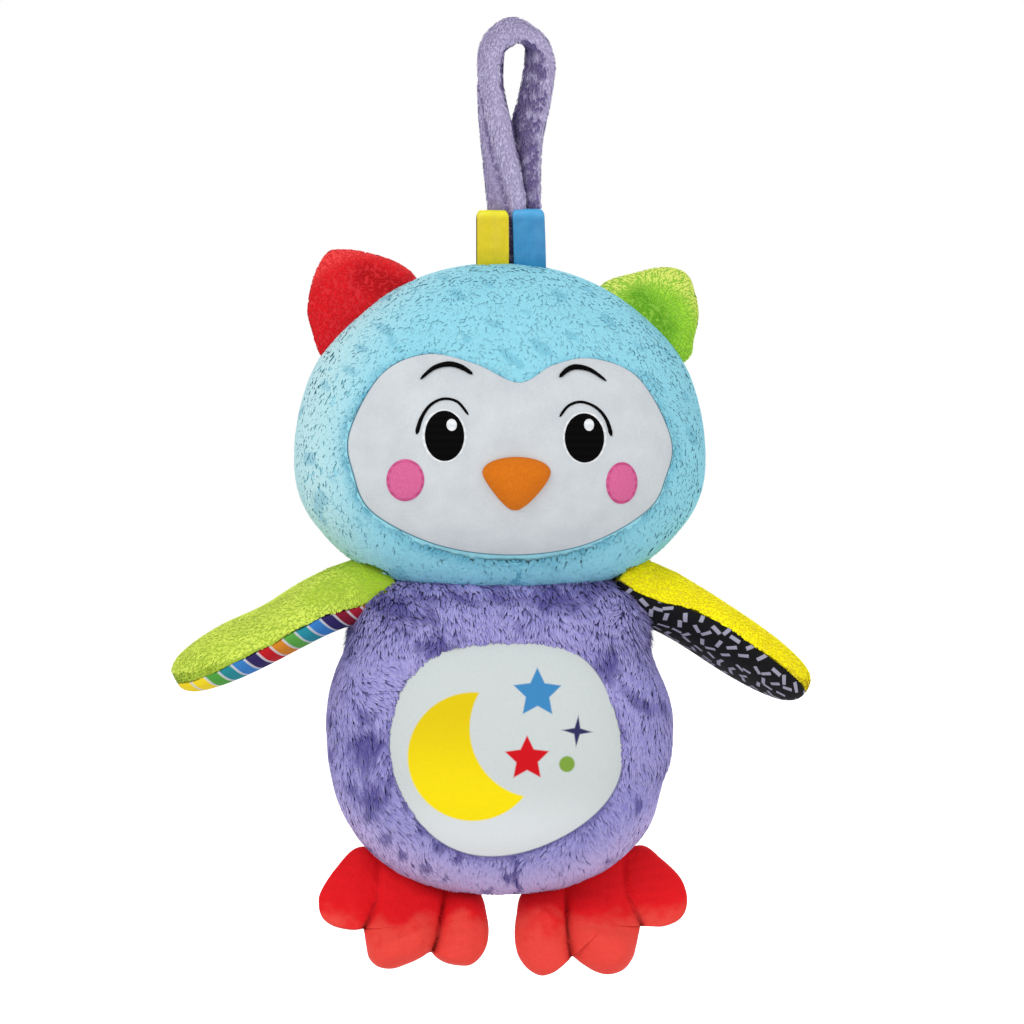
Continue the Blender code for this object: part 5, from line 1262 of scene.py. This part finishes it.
# Ears: stuffed pads in the head's side seams, each with a soft fold down its front.
# the edge tints are painted highlights on the ears' rims
red_under, red_pile = fur(
    "red", (0.66, 0.008, 0.014), (0.42, 0.004, 0.008), (0.60, 0.006, 0.012), (0.76, 0.010, 0.016),
    (0.80, 0.02, 0.024), edge=((-45, -92), 20, 24, (0.86, 0.06, 0.06)),
)
lime_under, lime_pile = fur(
    "lime", (0.27, 0.55, 0.035), (0.10, 0.34, 0.015), (0.24, 0.57, 0.03), (0.37, 0.71, 0.045),
    (0.46, 0.77, 0.065), edge=((50, -95), 13, 20, (0.68, 0.78, 0.15)),
)
EAR_TUFTS = 8000
for word, pixels, fold, under, pile_finish, slot in (
    ("red", [
        (322.6, 357), (311, 326), (308, 307), (315, 276), (328, 254), (345, 251), (366, 254), (393, 262),
        (414, 277), (424, 310), (400, 345), (355, 372),
    ], ((366, 280), (393, 293)), red_under, red_pile, "plush_red"),
    ("green", [
        (605, 283), (631, 274), (665, 267), (687, 273), (696, 292), (699.5, 315), (695, 337), (689, 358),
        (655, 372), (612, 345), (590, 308),
    ], ((640, 300), (662, 330)), lime_under, lime_pile, "plush_lime"),
):
    outline = spline(photo_places(pixels), 120)
    fold_line = photo_places(fold)

    def hollow(flat):
        """A soft dent about the fold's line."""
        return 0.0030 * bell(from_line(flat, fold_line), 0.0050)

    def ear_half(flat, share, face):
        return 0.0065 * max(0.0, 1 - share**2.4) ** 0.5 - hollow(flat) * (face < 0) * (1 - share**4)

    ear, rows = pillow(
        f"ear_{word}_skin", outline, ear_half, lambda points: points, under, "owl", slot
    )
    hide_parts(f"ear_{word}")
    draw = np.random.default_rng(70 + len(word))
    around = np.concatenate([rows, rows[:, :1]], axis=1)
    spots, normal, _, _ = over_grid(around, EAR_TUFTS, draw)
    middle = np.array([outline[:, 0].mean(), 0.0, outline[:, 1].mean()])
    normal = normal * np.sign(dot(spots - middle, normal))
    way = unit(spots - middle) * (1.0, 0.2, 1.0) + (0, 0, -0.3)
    lie = combed(normal, way, 0.6 * waves(spots, 0.010, 74))
    chosen = head_form.level(spots) > 0.99
    # painted shade in the hollow along the ear's fold
    crease = np.clip(400 * hollow(spots[:, [0, 2]]) * (spots[:, 1] < 0) - 0.2, 0, 0.8)
    short_pile(
        f"ear_{word}_pile", spots[chosen], normal[chosen], lie[chosen], 0.0014, crease[chosen], 0.16,
        draw, pile_finish, "owl", slot,
    )


# Ribbon tags: two folded loops of satin ribbon in the head's top seam.
def satin(name, colour, painted_sheen):
    made, shader, place = finish(name, 0.35, specular_ior_level=0.35, anisotropic=0.5)
    rib = (place.axis(0) * 7000.0).math("SINE") * 0.5 + 0.5
    # painted sheen in patches and along the ribs
    painted_shine = place.noise(300.0, 2.0).step(0.3, 0.7)
    # painted highlight along the ribbon's top fold
    at_fold = place.axis(2).step(-0.0575, -0.0545)
    fold_highlight = tuple(min(1.5 * c + 0.03, 0.9) for c in painted_sheen)
    colour_of(shader, (at_fold * 0.6).mix((rib * 0.2 + painted_shine * 0.5).mix(colour, painted_sheen), fold_highlight))
    normal_of(shader, rib.bump(0.08, 0.0002))
    return made


TAG_RADIUS, RIBBON_THICK, RIBBON_WIDE = 0.0017, 0.0005, 0.0106
TAG_Y, TAG_FOOT = -0.0046, -0.0785
for word, middle_x, lean, colour, painted_sheen, top in (
    ("yellow", -0.0075, 0.0, (0.60, 0.47, 0.005), (0.74, 0.59, 0.008), -0.0540),
    ("blue", 0.0049, math.radians(-1.5), (0.025, 0.20, 0.43), (0.045, 0.28, 0.52), -0.0535),
):
    t = np.linspace(0, math.pi, 15)
    half_way = (TAG_FOOT + top) / 2
    outer = np.concatenate([
        [(TAG_RADIUS, TAG_FOOT)], [(TAG_RADIUS * 0.9, half_way)],
        np.column_stack([TAG_RADIUS * np.cos(t), top - TAG_RADIUS + TAG_RADIUS * np.sin(t)]),
        [(-TAG_RADIUS * 1.3, half_way)], [(-TAG_RADIUS, TAG_FOOT)],
    ])
    inner = outer[::-1] * (1 - RIBBON_THICK / TAG_RADIUS, 1.0)
    inner[:, 1] -= RIBBON_THICK * (inner[:, 1] > top - TAG_RADIUS)
    loop_line = np.concatenate([outer, inner])
    rows = []
    for across in np.linspace(-1, 1, 25):
        bow = 0.0004 * math.sin(across * 3.1 + middle_x * 900)
        x = middle_x + across * RIBBON_WIDE / 2 + (loop_line[:, 1] + 0.0713) * math.tan(lean)
        corner = 0.0014 * max(0.0, abs(across) - 0.75) ** 2 / 0.0625 * (loop_line[:, 1] > top - 0.004)
        rows.append(np.column_stack([x, TAG_Y + loop_line[:, 0] + bow, loop_line[:, 1] - corner]))
    slot = f"satin_{word}"
    tag = closed_rings(f"ribbon_{word}", rows, satin(slot, colour, painted_sheen), "owl", slot)
    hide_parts(f"tag_{word}")


# Hanging loop: a folded strip of lilac plush. It swings on its seam, on the hanger.
lilac_under, lilac_pile = fur(
    "lilac", (0.36, 0.31, 0.50), (0.10, 0.07, 0.21), (0.40, 0.35, 0.56), (0.53, 0.48, 0.69),
    (0.64, 0.595, 0.78),
)
LOOP_LINE = np.array([
    # x, y, z in mm, turn of the strip's outer face towards the viewer, width and thickness
    (-2.5, -0.8, -71, 82, 12.5, 2.2), (-2.5, -0.8, -62, 74, 12.5, 3.0), (-2.4, -1.2, -52, 58, 13.5, 4.8),
    (-4.0, -1.0, -40, 46, 13.5, 5.8), (-6.0, -0.4, -27, 32, 13.4, 6.2), (-7.4, 0.0, -17, 20, 13.0, 6.4),
    (-7.9, 0.0, -8.7, 15, 13.0, 6.2), (-6.8, 0.0, 1.2, 20, 13.0, 6.4), (0.2, 0.0, 6.3, 26, 13.0, 6.8),
    (7.0, 0.0, 2.8, -4, 13.0, 6.6), (8.8, 0.0, -4, -24, 13.4, 6.4), (8.5, 0.0, -8.7, -28, 13.6, 6.4),
    (7.0, 0.0, -17, -32, 13.6, 6.4), (5.2, 0.4, -25, -38, 13.0, 6.2), (4.2, 0.9, -30.5, -42, 12.8, 5.8),
    (3.4, 1.2, -40, -50, 12.5, 5.4), (3.3, 1.4, -52, -60, 12.5, 4.5), (3.3, 1.4, -62, -72, 12.5, 3.4),
    (3.3, 1.3, -71, -82, 12.5, 2.2),
])
line = spline(LOOP_LINE, 130, closed=False)
middles, twists = line[:, :3] / 1000, np.radians(line[:, 3])
# its thickness and its width lie across its run, turned by the twist towards the viewer
runs = unit(np.gradient(middles, axis=0) * (1.0, 0.0, 1.0))
outer = np.column_stack([-runs[:, 2], 0 * twists, runs[:, 0]])
viewer = np.tile((0.0, -1.0, 0.0), (len(line), 1))
thick_way = outer * np.cos(twists)[:, None] + viewer * np.sin(twists)[:, None]
wide_way = viewer * np.cos(twists)[:, None] - outer * np.sin(twists)[:, None]
AROUND_LOOP = 44  # points round the strip
t = np.linspace(0, math.tau, AROUND_LOOP, endpoint=False)
across = np.sign(np.cos(t)) * np.abs(np.cos(t)) ** 0.7
deep = np.sign(np.sin(t)) * np.abs(np.sin(t)) ** 0.7


def past_fold(turn, share):
    """How far round the strip a place is from the fold that runs down its front."""
    return turn - 1.25 - 2.2 * share


def folding(share):
    """The fold fades out along the strip."""
    return np.clip((0.44 - share) / 0.1, 0, 1)


along = np.linspace(0, 1, len(line))[:, None]
groove = 0.0010 * folding(along) * bell(past_fold(t, along), 0.16)
half_wide = across * (line[:, 4:5] / 2000 + 0.0001)
half_thick = deep * (line[:, 5:6] / 2000 - 0.0001) - groove
rows = middles[:, None] + half_wide[:, :, None] * wide_way[:, None]
rows = rows + half_thick[:, :, None] * thick_way[:, None]
loop = closed_rings("loop_skin", rows, lilac_under, "hanger", "plush_lilac")
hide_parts("hang_loop")

LOOP_TUFTS = 14000
draw = np.random.default_rng(81)
around = np.concatenate([rows, rows[:, :1]], axis=1)
spots, normal, i, j = over_grid(around, LOOP_TUFTS, draw)
ring = np.clip(np.round(i).astype(int), 0, len(rows) - 1)
normal = normal * np.sign(dot(spots - rows.mean(axis=1)[ring], normal))
way = np.tile((0.1, 0.0, -1.0), (len(spots), 1))
lie = combed(normal, way, 0.7 * waves(spots, 0.009, 82) + 0.3 * waves(spots, 0.004, 83))
turn, share = j * math.tau / AROUND_LOOP, i / len(rows)
beyond_fold = past_fold(turn, share)
# painted shade along the fold down the strip's front
crease = 0.9 * bell(beyond_fold, 0.13) * folding(share)
# painted shade on the face turned past the fold
past_fold_shade = (beyond_fold > 0) * (turn < 3.3) * np.clip(1 - share / 0.36, 0, 1)
# painted shadow behind the tags
shadow_behind_tags = np.clip((-0.0520 - spots[:, 2]) / 0.004, 0, 1) * (normal[:, 1] < 0.2)
inside = (dot(normal, thick_way[ring])[:, 0] < -0.5) * 1.0
# painted shade in patches on the strip's inner face
patches = np.clip((waves(spots, 0.005, 84) + 1.0) * inside, 0, 0.97)
crease = np.max([crease, 0.85 * past_fold_shade, shadow_behind_tags, patches], axis=0)
chosen = spots[:, 2] > -0.0712
length = 0.0015 + 0.0008 * inside
short_pile(
    "loop_pile", spots[chosen], normal[chosen], lie[chosen], length[chosen], crease[chosen], 0.2,
    draw, lilac_pile, "hanger", "plush_lilac",
)

size = {"cad": [list(v) for v in cad_box], "visual": [list(v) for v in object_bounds()]}
